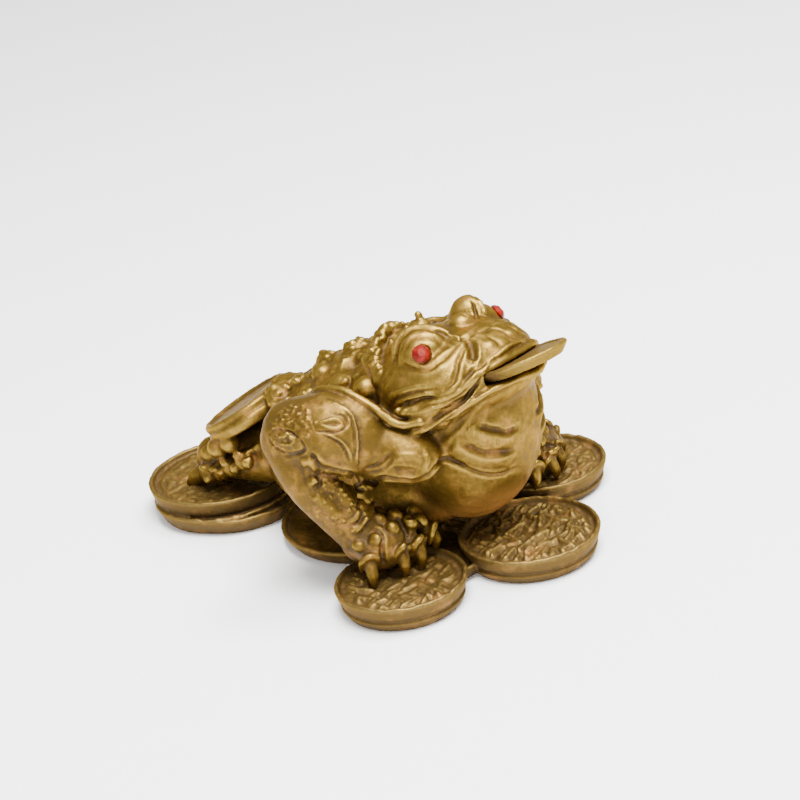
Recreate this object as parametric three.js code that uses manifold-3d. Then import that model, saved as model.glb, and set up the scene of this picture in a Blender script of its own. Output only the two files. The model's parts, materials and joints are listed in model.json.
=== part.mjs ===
// Money toad figure: a three-legged toad crouching on a bed of coins, cast in one piece, with a loose
// coin in its mouth and a red stone in each eye. It is a free-form casting, so the toad's own forms are
// placed on a grid of hundredths of its length, and what it rests on or holds has sizes of its own.
// Millimetres. The toad faces -Y, its left side is +X, and it stands on z = 0.
import {
  BoxGeometry, BufferAttribute, BufferGeometry, CatmullRomCurve3, Color, Group, LatheGeometry,
  MathUtils, Matrix4, Mesh, MeshStandardMaterial, Raycaster, SphereGeometry, Vector2, Vector3,
} from "three";
import { mergeVertices } from "three/addons/utils/BufferGeometryUtils.js";
import Module from "manifold-3d";

const wasm = await Module();
wasm.setup();

// Driving dimensions: the toad
const toadLength = 100; // snout coin's tip to the hind toes
const headRoll = 5.5; // degrees, the toad's right eye higher
const leftFootStep = 5.5; // how far the left foot stands ahead of the right one, on the toad's grid
const seatGrid = 5; // the coins' faces lie this far up on the toad's grid
const leftElbowDrop = 4.5; // how far the left elbow sits below the right one, on the toad's grid

// Driving dimensions: the coin bed
const footCoinRadius = 14;
const frontCoinRadius = 15.2;
const rearCoinRadius = 16.7;
const bellyCoinRadius = 19.5;
const hiddenCoinRadius = 14;
const stackHeight = 6; // two coins, one on the other
const rearStackHeight = 6.9;
const singleHeight = 3.6; // one coin
const rimWidth = 1.7;
const rimRise = 1.1; // how far a rim stands above its coin's face
const edgeFlare = 0.9; // how far a coin's edge leans out from its foot
const edgeGroove = 0.5; // the line between two stacked coins
const strokeHeight = 0.8; // relief on a coin's face
const strokeWidth = 1.5;
const strokeLength = 4.7; // the longest stroke
const strokePitch = 5.4; // from one column or row of strokes to the next
const strokeMargin = 2.5; // bare face inside the rim

// Driving dimensions: the coins that the toad carries
const mouthCoinRadius = 10;
const mouthCoinThickness = 2.8;
const mouthCoinDish = 0.3; // how far its face lies below its rim
const mouthCoinEdge = 0.4; // chamfer
const mouthCoinPitch = 25; // degrees, its front edge up
const mouthCoinReach = 53.5; // its tip lies this far ahead on the toad's grid
const rumpCoinRadius = 11;
const rumpCoinThickness = 3.2;
const rumpCoinRecess = 0.8;
const rumpCoinSlope = 32; // degrees, its rear edge down
const rumpCoinLean = 6; // degrees, its right edge down

// Driving dimensions: the stones and the cord
const gemDiameter = 3.9;
const gemDome = 1.5;
const cordDiameter = 1.8;
const creaseWidth = 1.6; // the grooves across the throat
const seatGap = 0.3; // clearance round the loose coin and behind each stone
const lipGap = 0.8; // more room above the loose coin, under the upper lip

// The toad's grid
const unit = toadLength / 100;
const coinFace = stackHeight - rimRise;
const at = (x, y, z) => new Vector3(x * unit, y * unit, coinFace + (z - seatGrid) * unit);
const left = (point) => new Vector3(-point.x, point.y, point.z);
const same = (point) => point.clone();
const both = (make) => [make(same), make(left)];
const headPivot = at(0, -27, 42);
const rollTurn = new Matrix4()
  .makeTranslation(headPivot)
  .multiply(new Matrix4().makeRotationY(MathUtils.degToRad(headRoll)))
  .multiply(new Matrix4().makeTranslation(headPivot.clone().negate()));

// Joining and cutting closed meshes

function indexed(geometry) {
  geometry.deleteAttribute("normal");
  geometry.deleteAttribute("uv");
  const merged = mergeVertices(geometry, 1e-4);
  const place = merged.attributes.position;
  const kept = [];
  for (let i = 0; i < merged.index.count; i += 3) {
    const [a, b, c] = [0, 1, 2].map((k) => merged.index.getX(i + k));
    if (a !== b && b !== c && c !== a) kept.push(a, b, c);
  }
  return { place: new Float32Array(place.array), corners: new Uint32Array(kept) };
}

function signedVolume({ place, corners }) {
  const point = (i) => new Vector3(place[3 * i], place[3 * i + 1], place[3 * i + 2]);
  let sum = 0;
  for (let i = 0; i < corners.length; i += 3) {
    sum += point(corners[i]).dot(point(corners[i + 1]).cross(point(corners[i + 2])));
  }
  return sum / 6;
}

function solid(geometry) {
  const mesh = indexed(geometry);
  if (signedVolume(mesh) < 0) mesh.corners.reverse();
  return new wasm.Manifold(
    new wasm.Mesh({ numProp: 3, vertProperties: mesh.place, triVerts: mesh.corners }),
  );
}

const join = (pieces) => pieces.flat(Infinity).reduce((sum, piece) => sum.add(piece));

function toGeometry(piece) {
  const mesh = piece.getMesh();
  const geometry = new BufferGeometry();
  geometry.setAttribute("position", new BufferAttribute(new Float32Array(mesh.vertProperties), 3));
  geometry.setIndex(new BufferAttribute(new Uint32Array(mesh.triVerts), 1));
  geometry.computeVertexNormals();
  return geometry;
}

// Shapes

// A ball stretched to three half-widths in grid units, its front end raised by pitch degrees
function ball(centre, [across, along, up], { pitch = 0, around = 16 } = {}) {
  const geometry = new SphereGeometry(unit, around, Math.round(around * 0.55));
  geometry.scale(across, along, up);
  geometry.rotateX(-MathUtils.degToRad(pitch));
  geometry.translate(centre.x, centre.y, centre.z);
  return solid(geometry);
}

const bead = (centre, radius, around = 6) => ball(centre, [radius, radius, radius], { around });

// A limb: a lathed spindle bent along a curve, with a radius in grid units at each of its points
function limb(points, radii, { sides = 8, steps = 8, roundEnds = true } = {}) {
  const curve = new CatmullRomCurve3(points, false, "centripetal");
  const radiusAt = (t) => {
    const place = t * (radii.length - 1);
    const before = Math.min(Math.floor(place), radii.length - 2);
    return unit * MathUtils.lerp(radii[before], radii[before + 1], place - before);
  };
  const ring = (t, size, shift) => {
    const tangent = curve.getTangent(t);
    const radius = radiusAt(t);
    const centre = curve.getPoint(t).addScaledVector(tangent, shift * radius);
    return { centre, tangent, radius: radius * size };
  };
  const rings = roundEnds ? [ring(0, 0, -0.9), ring(0, 0.75, -0.65)] : [ring(0, 0, 0)];
  for (let i = 0; i <= steps; i += 1) rings.push(ring(i / steps, 1, 0));
  if (roundEnds) rings.push(ring(1, 0.75, 0.65), ring(1, 0, 0.9));
  else rings.push(ring(1, 0, 0));
  let normal = new Vector3(0, 0, 1).cross(rings[0].tangent);
  if (normal.length() < 0.1) normal = new Vector3(1, 0, 0);
  for (const r of rings) {
    normal = normal.clone().addScaledVector(r.tangent, -normal.dot(r.tangent)).normalize();
    r.normal = normal;
    r.binormal = new Vector3().crossVectors(r.tangent, normal);
  }
  const profile = rings.map((r, i) => new Vector2(r.radius, i));
  const geometry = new LatheGeometry(profile, sides);
  const place = geometry.attributes.position;
  for (let i = 0; i < place.count; i += 1) {
    const r = rings[Math.round(place.getY(i))];
    const moved = r.centre.clone()
      .addScaledVector(r.normal, place.getX(i))
      .addScaledVector(r.binormal, place.getZ(i));
    place.setXYZ(i, moved.x, moved.y, moved.z);
  }
  return solid(geometry);
}

// A coin standing on z = 0, or a stack of two with a line round its edge
function coin(radius, height, { stacked = true, facets = 17, recess = rimRise, plain = false } = {}) {
  const inner = radius - rimWidth;
  const line = height * 0.5;
  const stack = stacked
    ? [
        [radius - edgeFlare * 0.6, line - edgeGroove],
        [radius - edgeFlare * 0.6 - edgeGroove, line],
      ]
    : [];
  const rim = plain
    ? [[radius, height], [0, height]]
    : [
        [radius, height - rimRise * 0.6], [radius - rimWidth * 0.35, height], [inner, height],
        [inner - rimRise * 0.5, height - recess], [0, height - recess],
      ];
  const profile = [[0, 0], [radius - edgeFlare, 0], ...stack, ...rim]
    .map(([r, z]) => new Vector2(r, z));
  const geometry = new LatheGeometry(profile, facets);
  geometry.rotateX(Math.PI / 2);
  return geometry;
}

const layCoin = (radius, height, x, y, options) =>
  solid(coin(radius, height, options).translate(x * unit, y * unit, 0));

// Shallow strokes in columns that fill a coin's face, as a worn inscription does
function strokes(radius, height, x, y) {
  const reach = radius - rimWidth - strokeMargin;
  const columns = Math.floor((2 * reach) / strokePitch);
  const made = [];
  for (let i = 0; i <= columns; i += 1) {
    const across = (i - columns / 2) * strokePitch;
    const room = Math.sqrt(Math.max(reach ** 2 - across ** 2, 0));
    for (let along = -room; along <= room; along += strokePitch) {
      const length = strokeLength * (0.77 + 0.23 * Math.sin(3 * i + along));
      const stroke = new BoxGeometry(strokeWidth, length, strokeHeight * 2);
      stroke.rotateZ(0.5 * Math.sin(5 * i + 2 * along) + (i % 2 ? Math.PI / 2 : 0));
      stroke.translate(x * unit + across, y * unit + along, height - rimRise);
      made.push(solid(stroke));
    }
  }
  return made;
}

// The coin bed: each coin's middle on the toad's grid
const footCoinPlace = [28.2, -27];
const frontCoinPlace = [-0.7, -41.2];
const rearCoinPlace = [-3.2, 39.7];
const rearUnderPlace = [-3.2, 36];
const bellyCoinPlace = [-2, 0];
const hiddenCoinPlace = [12, -22.5];

function coinBed() {
  const [fx, fy] = footCoinPlace;
  const [hx, hy] = hiddenCoinPlace;
  const buried = { stacked: false, plain: true, facets: 14 };
  return [
    layCoin(footCoinRadius, stackHeight, -fx, fy),
    layCoin(footCoinRadius, stackHeight, fx, fy),
    layCoin(frontCoinRadius, stackHeight, ...frontCoinPlace),
    layCoin(rearCoinRadius, rearStackHeight, ...rearCoinPlace),
    layCoin(rearCoinRadius, rearStackHeight / 2, ...rearUnderPlace, buried),
    layCoin(bellyCoinRadius, singleHeight, ...bellyCoinPlace, { stacked: false, facets: 20 }),
    layCoin(hiddenCoinRadius, singleHeight, -hx, hy, buried),
    layCoin(hiddenCoinRadius, singleHeight, hx, hy, buried),
    strokes(frontCoinRadius, stackHeight, ...frontCoinPlace),
  ];
}

// The toad's trunk, a long ball raised at the shoulders, over a level belly
function trunk() {
  return [
    ball(at(0, -1, 24), [19, 26, 16.5], { pitch: 35, around: 14 }),
    ball(at(0, -8, 14.5), [18, 23, 11], { around: 10 }),
    ball(at(0, -15, 38), [15, 11, 9], { pitch: 20, around: 8 }),
    both((side) => ball(side(at(-19.5, -23.5, 31)), [7, 11, 6.6], { pitch: -16, around: 9 })),
    both((side) => ball(side(at(-18.5, -8, 33.4)), [8, 11, 7], { pitch: 15, around: 9 })),
  ];
}

// The highest point of a body above a place on the toad's grid, raised by a share
function surfaceOf(body) {
  const skin = new Mesh(toGeometry(body));
  const above = 2 * toadLength;
  return (x, y, rise = 0) => {
    const ray = new Raycaster(new Vector3(x * unit, y * unit, above), new Vector3(0, 0, -1));
    const [hit] = ray.intersectObject(skin);
    return hit.point.clone().setZ(hit.point.z + rise * unit);
  };
}

function hindLeg() {
  const leg = [at(-1, 12, 20), at(-3, 24, 15.5), at(-4, 33, 14), at(-5, 39, 11)];
  const knobs = [
    [-9, 37, 10.5, 3.2], [-10, 31.5, 13.4, 3], [-10.8, 25.6, 16.6, 2.8],
  ];
  const legMiddle = -4;
  const toes = [-8.5, -5.5, -2.2, 1];
  return [
    limb(leg, [9, 7, 6, 4.5], { sides: 8, steps: 5 }),
    bead(at(-6, 38, 14), 4, 8),
    knobs.map(([x, y, z, r]) => [bead(at(x, y, z), r), bead(at(legMiddle * 2 - x, y, z), r)]),
    toes.map((x) => limb([at(x * 0.6 - 2, 36, 10), at(x, 41, 8.5), at(x * 1.15, 44, 5)],
      [2.4, 2, 0.7], { sides: 5, steps: 4, roundEnds: false })),
  ];
}

// The throat pouch: a ball that leans forward, with creases that hang round its front
const pouch = { middle: at(0, -29.5, 27.5), half: [15.8, 14.6, 20], lean: 9 };

function throat() {
  return ball(pouch.middle, pouch.half, { pitch: -pouch.lean, around: 17 });
}

function onPouch(x, z) {
  const [across, along, up] = pouch.half;
  const depth = along * Math.sqrt(Math.max(1 - (x / across) ** 2 - (z / up) ** 2, 0));
  return new Vector3(x, -depth, z).multiplyScalar(unit)
    .applyMatrix4(new Matrix4().makeRotationX(MathUtils.degToRad(pouch.lean)))
    .add(pouch.middle);
}

// Each crease: its half-width, and its height at the ends and in the middle, from the pouch's middle
function creases() {
  const places = [[9, 6.5, 3.5], [13, 4, -1.5], [15, 0.5, -5.5]];
  const turns = [-1, -0.8, -0.5, 0, 0.5, 0.8, 1];
  return places.map(([reach, high, low]) => {
    const route = turns.map((turn) => onPouch(reach * turn, low + (high - low) * turn ** 2));
    const radius = creaseWidth / 2 / unit;
    return limb(route, route.map((_, i) => radius * Math.sin(((i + 1) / 8) * Math.PI)),
      { steps: 7, sides: 4, roundEnds: false });
  });
}

const eyeball = at(-11.6, -27.2, 46.6);

// The head, modelled level and then rolled a little to one side
function head() {
  const lowerLip = [
    at(-19, -29.5, 33.6), at(-16.5, -34.5, 36.6), at(-12.5, -39.5, 39.3), at(-7, -44.6, 42),
    at(0, -47.2, 42.6),
  ];
  const upperLip = [
    at(-19.5, -26.5, 37.6), at(-17.5, -32, 38), at(-15.5, -35.6, 40.9), at(-11.5, -39.4, 44.2),
    at(-6.5, -42.2, 46.6), at(0, -43.4, 47),
  ];
  const lidArch = [
    at(-15, -23.5, 46.4), at(-13, -23.3, 50.7), at(-11.2, -26, 52.6), at(-9.6, -30.6, 51.7),
    at(-8, -35, 49),
  ];
  const lowerLid = [at(-15.4, -25.5, 45.6), at(-14, -31, 45.2), at(-10.5, -35.5, 46.8)];
  const cheekFold = [
    at(-19, -25.5, 41), at(-17.5, -30, 40.4), at(-15, -34.5, 42.6), at(-12, -37.2, 45.6),
  ];
  const made = [
    ball(at(0, -27.5, 40.5), [18.3, 16.8, 10.4], { pitch: 14, around: 14 }),
    ball(at(0, -35, 44.4), [11, 9, 5.2], { pitch: 16, around: 11 }),
    ball(at(0, -32, 36.5), [15.5, 15, 5.6], { pitch: 27, around: 11 }),
    bead(at(0, -19.5, 48.6), 3.4, 7),
    bead(at(0, -19.1, 51.2), 1.4, 6),
    both((side) => [
      ball(side(at(-9.6, -26.6, 47.6)), [4.8, 5.4, 4.4], { pitch: -8, around: 8 }),
      ball(side(eyeball), [4, 4.8, 4.2], { around: 8 }),
      bead(side(at(-3.6, -31.6, 49.4)), 2.8),
      ball(side(at(-5, -37.5, 47.8)), [3, 3.8, 2.4], { pitch: 12, around: 8 }),
      limb(lidArch.map(side), [1.1, 1.5, 1.5, 1.4, 1], { steps: 5, sides: 5, roundEnds: false }),
      limb(lowerLid.map(side), [0.9, 1.1, 0.8], { steps: 3, sides: 5, roundEnds: false }),
      limb(cheekFold.map(side), [1.2, 1.5, 1.5, 1], { steps: 4, sides: 5, roundEnds: false }),
      limb(upperLip.map(side), [1.4, 1.9, 1.8, 1.6, 1.5, 1.5],
        { steps: 6, sides: 5, roundEnds: false }),
    ]),
    limb([...lowerLip, ...lowerLip.slice(0, -1).reverse().map(left)],
      [1.4, 1.6, 1.5, 1.4, 1.4, 1.4, 1.5, 1.6, 1.4], { steps: 11, sides: 5 }),
  ];
  return join(made);
}

const mouthCoinFacets = 18;

// The loose coin's own frame: its middle, with its front edge raised
function mouthCoinFrame() {
  const slope = MathUtils.degToRad(mouthCoinPitch);
  const inward = new Vector3(0, Math.cos(slope), -Math.sin(slope));
  const middle = at(0, -mouthCoinReach, 47.8).addScaledVector(inward, mouthCoinRadius);
  return rollTurn.clone()
    .multiply(new Matrix4().makeTranslation(middle))
    .multiply(new Matrix4().makeRotationX(-slope));
}

function mouthCoinGeometry() {
  const half = mouthCoinThickness / 2;
  const flat = mouthCoinRadius - mouthCoinEdge;
  const inner = mouthCoinRadius - rimWidth;
  const side = [
    [0, half - mouthCoinDish], [inner - mouthCoinEdge, half - mouthCoinDish], [inner, half],
    [flat, half], [mouthCoinRadius, half - mouthCoinEdge],
  ];
  const under = side.map(([r, z]) => [r, -z]);
  const profile = [...under, ...side.reverse()].map(([r, z]) => new Vector2(r, z));
  return new LatheGeometry(profile, mouthCoinFacets)
    .rotateX(Math.PI / 2)
    .applyMatrix4(mouthCoinFrame());
}

// The room that the mouth leaves for the loose coin, and the dark line out to each corner
function mouthGap() {
  const radius = mouthCoinRadius + seatGap;
  const low = -mouthCoinThickness / 2 - seatGap;
  const high = mouthCoinThickness / 2 + seatGap + lipGap;
  const profile = [[0, low], [radius, low], [radius, high], [0, high]];
  const slot = new LatheGeometry(profile.map(([r, z]) => new Vector2(r, z)), mouthCoinFacets)
    .rotateX(Math.PI / 2)
    .applyMatrix4(mouthCoinFrame());
  const wayOut = slot.clone().translate(0, -4 * unit, 1.9 * unit);
  const corner = [at(-19.5, -29, 35.5), at(-16, -35, 38.3), at(-11, -40, 41.6), at(-4, -43, 44.2)];
  const line = (side) => limb(corner.map(side), [0.5, 1, 1.4, 1.8], { steps: 5, sides: 5 });
  return [
    solid(slot),
    solid(wayOut),
    both((side) => line(side).transform(rollTurn.elements)),
  ];
}

// A front leg: upper arm, forearm, and four clawed toes that grip the foot coin. The foot stands
// forward by a step, and the elbow comes down by a drop and forward by half the step.
function frontLeg(side, { step, drop }) {
  const reach = (share) => (point) =>
    side(point.clone().add(new Vector3(0, -step * (0.5 + 0.5 * share), -drop * (1 - share))));
  const place = (points) => points.map((point, i) => reach(i / (points.length - 1))(point));
  const upper = [at(-23, -17, 35.5), at(-27, -13, 37), at(-29, -6.5, 37.5)];
  const fore = [at(-30, -5, 36), at(-31.5, -9, 27), at(-29, -13.5, 19.5), at(-26.5, -17, 14)];
  const toes = [
    [at(-26, -16, 14), at(-28.5, -20.5, 13.6), at(-31.5, -22.3, 10.6), at(-33, -23.5, 5)],
    [at(-24.5, -17, 14.6), at(-24.2, -23.6, 14.2), at(-26, -26, 10.6), at(-26.8, -27, 5)],
    [at(-22.5, -17.5, 14.4), at(-21.2, -24.6, 13.4), at(-21.6, -27, 10.4), at(-22.7, -28.2, 5)],
    [at(-21, -17, 13.6), at(-17, -24.6, 13), at(-16.4, -26.8, 10.6), at(-15.6, -27.2, 6)],
  ];
  return [
    limb(upper.map(reach(0)), [7.5, 8.6, 7], { sides: 9, steps: 4 }),
    limb(place(fore), [5.4, 4.3, 4.2, 4.6], { sides: 7, steps: 5 }),
    ball(reach(1)(at(-24.5, -17.5, 11.5)), [6.2, 6, 5.2], { around: 9 }),
    toes.map((toe) => limb(toe.map(reach(1)), [2.2, 2.5, 2, 0.5],
      { sides: 5, steps: 3, roundEnds: false })),
  ];
}

// The moulded cord that runs from the mouth's corner over the shoulder to the coins on the rump
function cord(side, rest) {
  const free = [at(-19.6, -31.6, 38.2), at(-21.5, -27, 38)].map(side);
  const turn = side(new Vector3(1, 0, 0)).x;
  const laid = [
    [-22.5, -21.5], [-22.5, -15.5], [-21.5, -9.5], [-18.5, -3], [-14.5, 5], [-9.5, 13], [-5, 18],
  ];
  const route = [...free, ...laid.map(([x, y]) => rest(turn * x, y, 0.3))];
  const radius = cordDiameter / 2 / unit;
  return limb(route, route.map(() => radius), { sides: 5, steps: 11, roundEnds: false });
}

// Two coins strung on the cord, lying one on the other down the rump
function rumpCoins() {
  const slope = MathUtils.degToRad(rumpCoinSlope);
  const lay = (place, turn) => {
    const options = { stacked: false, recess: rumpCoinRecess };
    const geometry = coin(rumpCoinRadius, rumpCoinThickness, options);
    geometry.rotateX(-slope);
    geometry.rotateY(turn - MathUtils.degToRad(rumpCoinLean));
    return solid(geometry.translate(place.x, place.y, place.z));
  };
  return [lay(at(-3, 28.8, 23.4), 0), lay(at(-3.6, 26.4, 21.2), 0.06)];
}

// Warts down the back: [x, y, radius] on the toad's grid, each pair mirrored
function warts(rest) {
  const middle = [[0, -11, 2.6], [0, -2.5, 3.2], [0, 6, 2.6]];
  const pairs = [
    [-8, -13, 2.6], [-5.5, -6.5, 2.2], [-11, -6, 2.6], [-7, 2, 2.3], [-12.5, 2.5, 2.2], [-5.5, 10, 2.1],
  ];
  const wart = ([x, y, radius]) => bead(rest(x, y, -0.25 * radius), radius);
  return [middle.map(wart), pairs.map(([x, ...more]) => [wart([x, ...more]), wart([-x, ...more])])];
}

// Each stone's frame: its middle on the eyeball, facing out, forward and up
function gemFrame(side) {
  const facing = side(new Vector3(-0.6, -0.55, 0.58)).normalize();
  const middle = side(eyeball).addScaledVector(facing, 4 * unit);
  const lookout = new Matrix4().lookAt(facing, new Vector3(), new Vector3(0, 0, 1));
  return rollTurn.clone().multiply(new Matrix4().makeTranslation(middle)).multiply(lookout);
}

function gemGeometry(side) {
  const radius = gemDiameter / 2;
  const profile = [
    [0, 0], [radius * 0.92, 0], [radius, gemDome * 0.3], [radius * 0.62, gemDome * 0.85],
    [radius * 0.5, gemDome], [0, gemDome],
  ].map(([r, z]) => new Vector2(r, z));
  return new LatheGeometry(profile, 12).rotateX(Math.PI / 2).applyMatrix4(gemFrame(side));
}

// The seat that each stone is glued into
function gemSeat(side) {
  const radius = gemDiameter / 2 + seatGap;
  const profile = [[0, -seatGap], [radius, -seatGap], [radius, gemDome * 3], [0, gemDome * 3]];
  return solid(new LatheGeometry(profile.map(([r, z]) => new Vector2(r, z)), 12)
    .rotateX(Math.PI / 2).applyMatrix4(gemFrame(side)));
}

function casting() {
  const toad = join([
    trunk(), throat(), head().transform(rollTurn.elements), hindLeg(),
    frontLeg(same, { step: 0, drop: 0 }),
    frontLeg(left, { step: leftFootStep * unit, drop: leftElbowDrop * unit }),
  ]);
  const rest = surfaceOf(toad);
  const carried = [warts(rest), cord(same, rest), cord(left, rest), rumpCoins()];
  const cuts = join([mouthGap(), creases(), gemSeat(same), gemSeat(left)]);
  return join([toad, carried, coinBed()]).subtract(cuts);
}

// The finishes
const antiqueGold = new MeshStandardMaterial({
  color: new Color(0.42, 0.29, 0.1), roughness: 0.38, metalness: 0.85,
});
const redStone = new MeshStandardMaterial({
  color: new Color(0.75, 0.02, 0.02), roughness: 0.12, metalness: 0.1,
});

function piece(name, geometry, material) {
  const mesh = new Mesh(geometry, material);
  mesh.name = name;
  return mesh;
}

const moneyToad = new Group();
moneyToad.name = "money_toad";
moneyToad.add(
  piece("toad_on_coins", toGeometry(casting()), antiqueGold),
  piece("mouth_coin", toGeometry(solid(mouthCoinGeometry())), antiqueGold),
  piece("eye_gem_right", toGeometry(solid(gemGeometry(same))), redStone),
  piece("eye_gem_left", toGeometry(solid(gemGeometry(left))), redStone),
);

export default moneyToad;
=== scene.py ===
"""The looks of a money toad figure: an antique-gold casting on a bed of coins, with red stone eyes."""
import json
import logging
import math
from dataclasses import dataclass, replace
from enum import Enum

import bmesh
import bpy
import numpy as np
from mathutils import Matrix, Vector

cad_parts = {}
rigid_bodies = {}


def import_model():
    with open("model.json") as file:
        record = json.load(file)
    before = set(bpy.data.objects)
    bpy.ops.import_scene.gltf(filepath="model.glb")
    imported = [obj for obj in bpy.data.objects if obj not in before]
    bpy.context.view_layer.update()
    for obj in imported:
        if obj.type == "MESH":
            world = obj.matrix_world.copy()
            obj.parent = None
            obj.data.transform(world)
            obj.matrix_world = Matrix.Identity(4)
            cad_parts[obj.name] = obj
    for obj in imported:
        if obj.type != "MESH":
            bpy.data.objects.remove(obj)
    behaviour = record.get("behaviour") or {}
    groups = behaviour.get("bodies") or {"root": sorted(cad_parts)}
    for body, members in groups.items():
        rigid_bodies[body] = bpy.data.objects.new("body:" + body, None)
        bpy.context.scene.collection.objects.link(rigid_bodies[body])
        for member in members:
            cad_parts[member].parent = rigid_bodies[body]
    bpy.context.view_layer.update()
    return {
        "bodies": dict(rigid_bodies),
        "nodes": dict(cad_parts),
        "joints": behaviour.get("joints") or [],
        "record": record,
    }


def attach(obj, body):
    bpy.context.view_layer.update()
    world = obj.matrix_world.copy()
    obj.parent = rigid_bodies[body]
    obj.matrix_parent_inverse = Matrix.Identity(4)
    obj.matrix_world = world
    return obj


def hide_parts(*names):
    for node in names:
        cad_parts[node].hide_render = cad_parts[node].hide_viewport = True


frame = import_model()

log = logging.getLogger("money_toad")

MM = 0.001
SEAT = -0.1  # the toad's grid sits this far above the frame, in its own units
PIVOT = (0.0, -27.0, 42.0)  # the head's roll turns about this point
HEAD_ROLL = 5.5
LEFT_STEP = 5.5  # the left foot stands this far ahead of the right one
LEFT_DROP = 4.5  # the left elbow sits this far below the right one
MOUTH_COIN_RADIUS = 10.0
MOUTH_COIN_THICKNESS = 2.4
SHARP_ANGLE = 62.0  # an edge sharper than this, in degrees, is shaded as an edge

Point = tuple[float, float, float]
Spot = tuple[float, float]  # a place in the picture, across and down, in pixels
Colour = tuple[float, float, float]


def roll_turn() -> Matrix:
    """Turn of the head to one side, about its pivot."""
    place = Matrix.Translation(PIVOT)
    return place @ Matrix.Rotation(math.radians(HEAD_ROLL), 4, "Y") @ place.inverted()


LEVEL = Matrix.Identity(4)
MIRROR = Matrix.Diagonal((-1.0, 1.0, 1.0, 1.0))


def along_curve(points: np.ndarray, spacing: float) -> tuple[np.ndarray, np.ndarray]:
    """Points along a smooth curve through a few given points.

    Args:
        points: the given points, one row each.
        spacing: the distance from one sample to the next.

    Returns:
        The samples, and for each its place along the given points, from 0 to their count less one.
    """
    given = np.asarray(points, float)
    ends = np.vstack([2 * given[0] - given[1], given, 2 * given[-1] - given[-2]])
    samples, places = [], []
    for i in range(len(given) - 1):
        before, start, stop, after = ends[i], ends[i + 1], ends[i + 2], ends[i + 3]
        count = max(2, int(np.linalg.norm(stop - start) / spacing) + 1)
        t = np.linspace(0, 1, count, endpoint=i == len(given) - 2)[:, None]
        bend = 2 * start + (stop - before) * t
        bend = bend + (2 * before - 5 * start + 4 * stop - after) * t**2
        bend = bend + (3 * start - before - 3 * stop + after) * t**3
        samples.append(bend / 2)
        places.append(i + t[:, 0])
    return np.vstack(samples), np.concatenate(places)


def grain(points: np.ndarray, size: float, seed: int) -> np.ndarray:
    """Smooth noise from -1 to 1 in space.

    Args:
        points: where it is read, one row each.
        size: the width of one patch.
        seed: which noise.

    Returns:
        One value for each point.
    """
    table = np.random.default_rng(seed).uniform(-1, 1, (32, 32, 32))
    scaled = points / size
    cell = np.floor(scaled).astype(int)
    share = scaled - cell
    share = share * share * (3 - 2 * share)
    value = np.zeros(len(points))
    for corner in range(8):
        step = np.array([corner & 1, corner >> 1 & 1, corner >> 2 & 1])
        weight = np.prod(np.where(step, share, 1 - share), axis=1)
        key = (cell + step) % 32
        value += weight * table[key[:, 0], key[:, 1], key[:, 2]]
    return value


class Profile(Enum):
    """The section of a carving stroke."""

    GROOVE = "a rounded groove with raised shoulders"
    CUT = "a sharp narrow cut"
    RIDGE = "a rounded ridge"
    FLAP = "a step whose right-hand side is undercut"


@dataclass(frozen=True)
class Stroke:
    """One stroke of carving: a line drawn over the photograph, and its section in millimetres."""

    profile: Profile
    width: float
    depth: float
    trace: tuple[Spot, ...]


LIDS = (
    Stroke(Profile.GROOVE, 1.2, 0.7, (
        (401, 356), (404, 345), (411, 336), (423, 334), (433, 336), (441, 340), (451, 346),
    )),
    Stroke(Profile.GROOVE, 0.5, 0.5, (
        (396, 362), (397, 348), (403, 336), (411, 330), (423, 328), (433, 330), (443, 334), (451, 340),
        (459, 345),
    )),
    Stroke(Profile.RIDGE, 0.5, 0.45, (
        (400, 356), (404, 344), (411, 334), (423, 332), (431, 333), (440, 337), (450, 344),
    )),
    Stroke(Profile.GROOVE, 0.7, 0.45, ((401, 326), (415, 321), (433, 321), (446, 326), (453, 330))),
    Stroke(Profile.RIDGE, 0.5, 0.35, (
        (402, 360), (413, 365), (424, 366), (434, 360), (444, 352), (453, 345),
    )),
    Stroke(Profile.GROOVE, 0.45, 0.25, (
        (403, 364), (413, 369), (426, 370), (437, 364), (447, 355), (456, 346),
    )),
    Stroke(Profile.RIDGE, 0.8, 0.2, (
        (396, 368), (407, 372), (424, 374), (439, 368), (450, 359), (459, 349), (463, 345),
    )),
    Stroke(Profile.GROOVE, 0.8, 0.2, (
        (394, 374), (407, 379), (426, 381), (441, 374), (453, 363), (461, 351), (465, 345),
    )),
)
NOSE = (
    Stroke(Profile.GROOVE, 1.3, 1.5, ((465, 339), (470, 340), (473, 346), (473, 354), (471, 359))),
    Stroke(Profile.GROOVE, 0.7, 0.5, ((469, 342), (463, 348), (459, 358), (456, 369), (451, 382))),
    Stroke(Profile.RIDGE, 0.7, 0.4, ((476, 342), (479, 349), (478, 358), (473, 368))),
    Stroke(Profile.RIDGE, 0.7, 0.4, ((461, 359), (461, 371), (456, 384), (447, 391))),
    Stroke(Profile.GROOVE, 0.7, 0.45, ((448, 328), (451, 335), (459, 338), (469, 336), (474, 329))),
    Stroke(Profile.GROOVE, 0.6, 0.35, ((448, 321), (453, 314), (461, 312), (470, 316))),
    Stroke(Profile.GROOVE, 0.6, 0.45, ((481, 332), (489, 328), (499, 328), (509, 334), (517, 338))),
)
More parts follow.
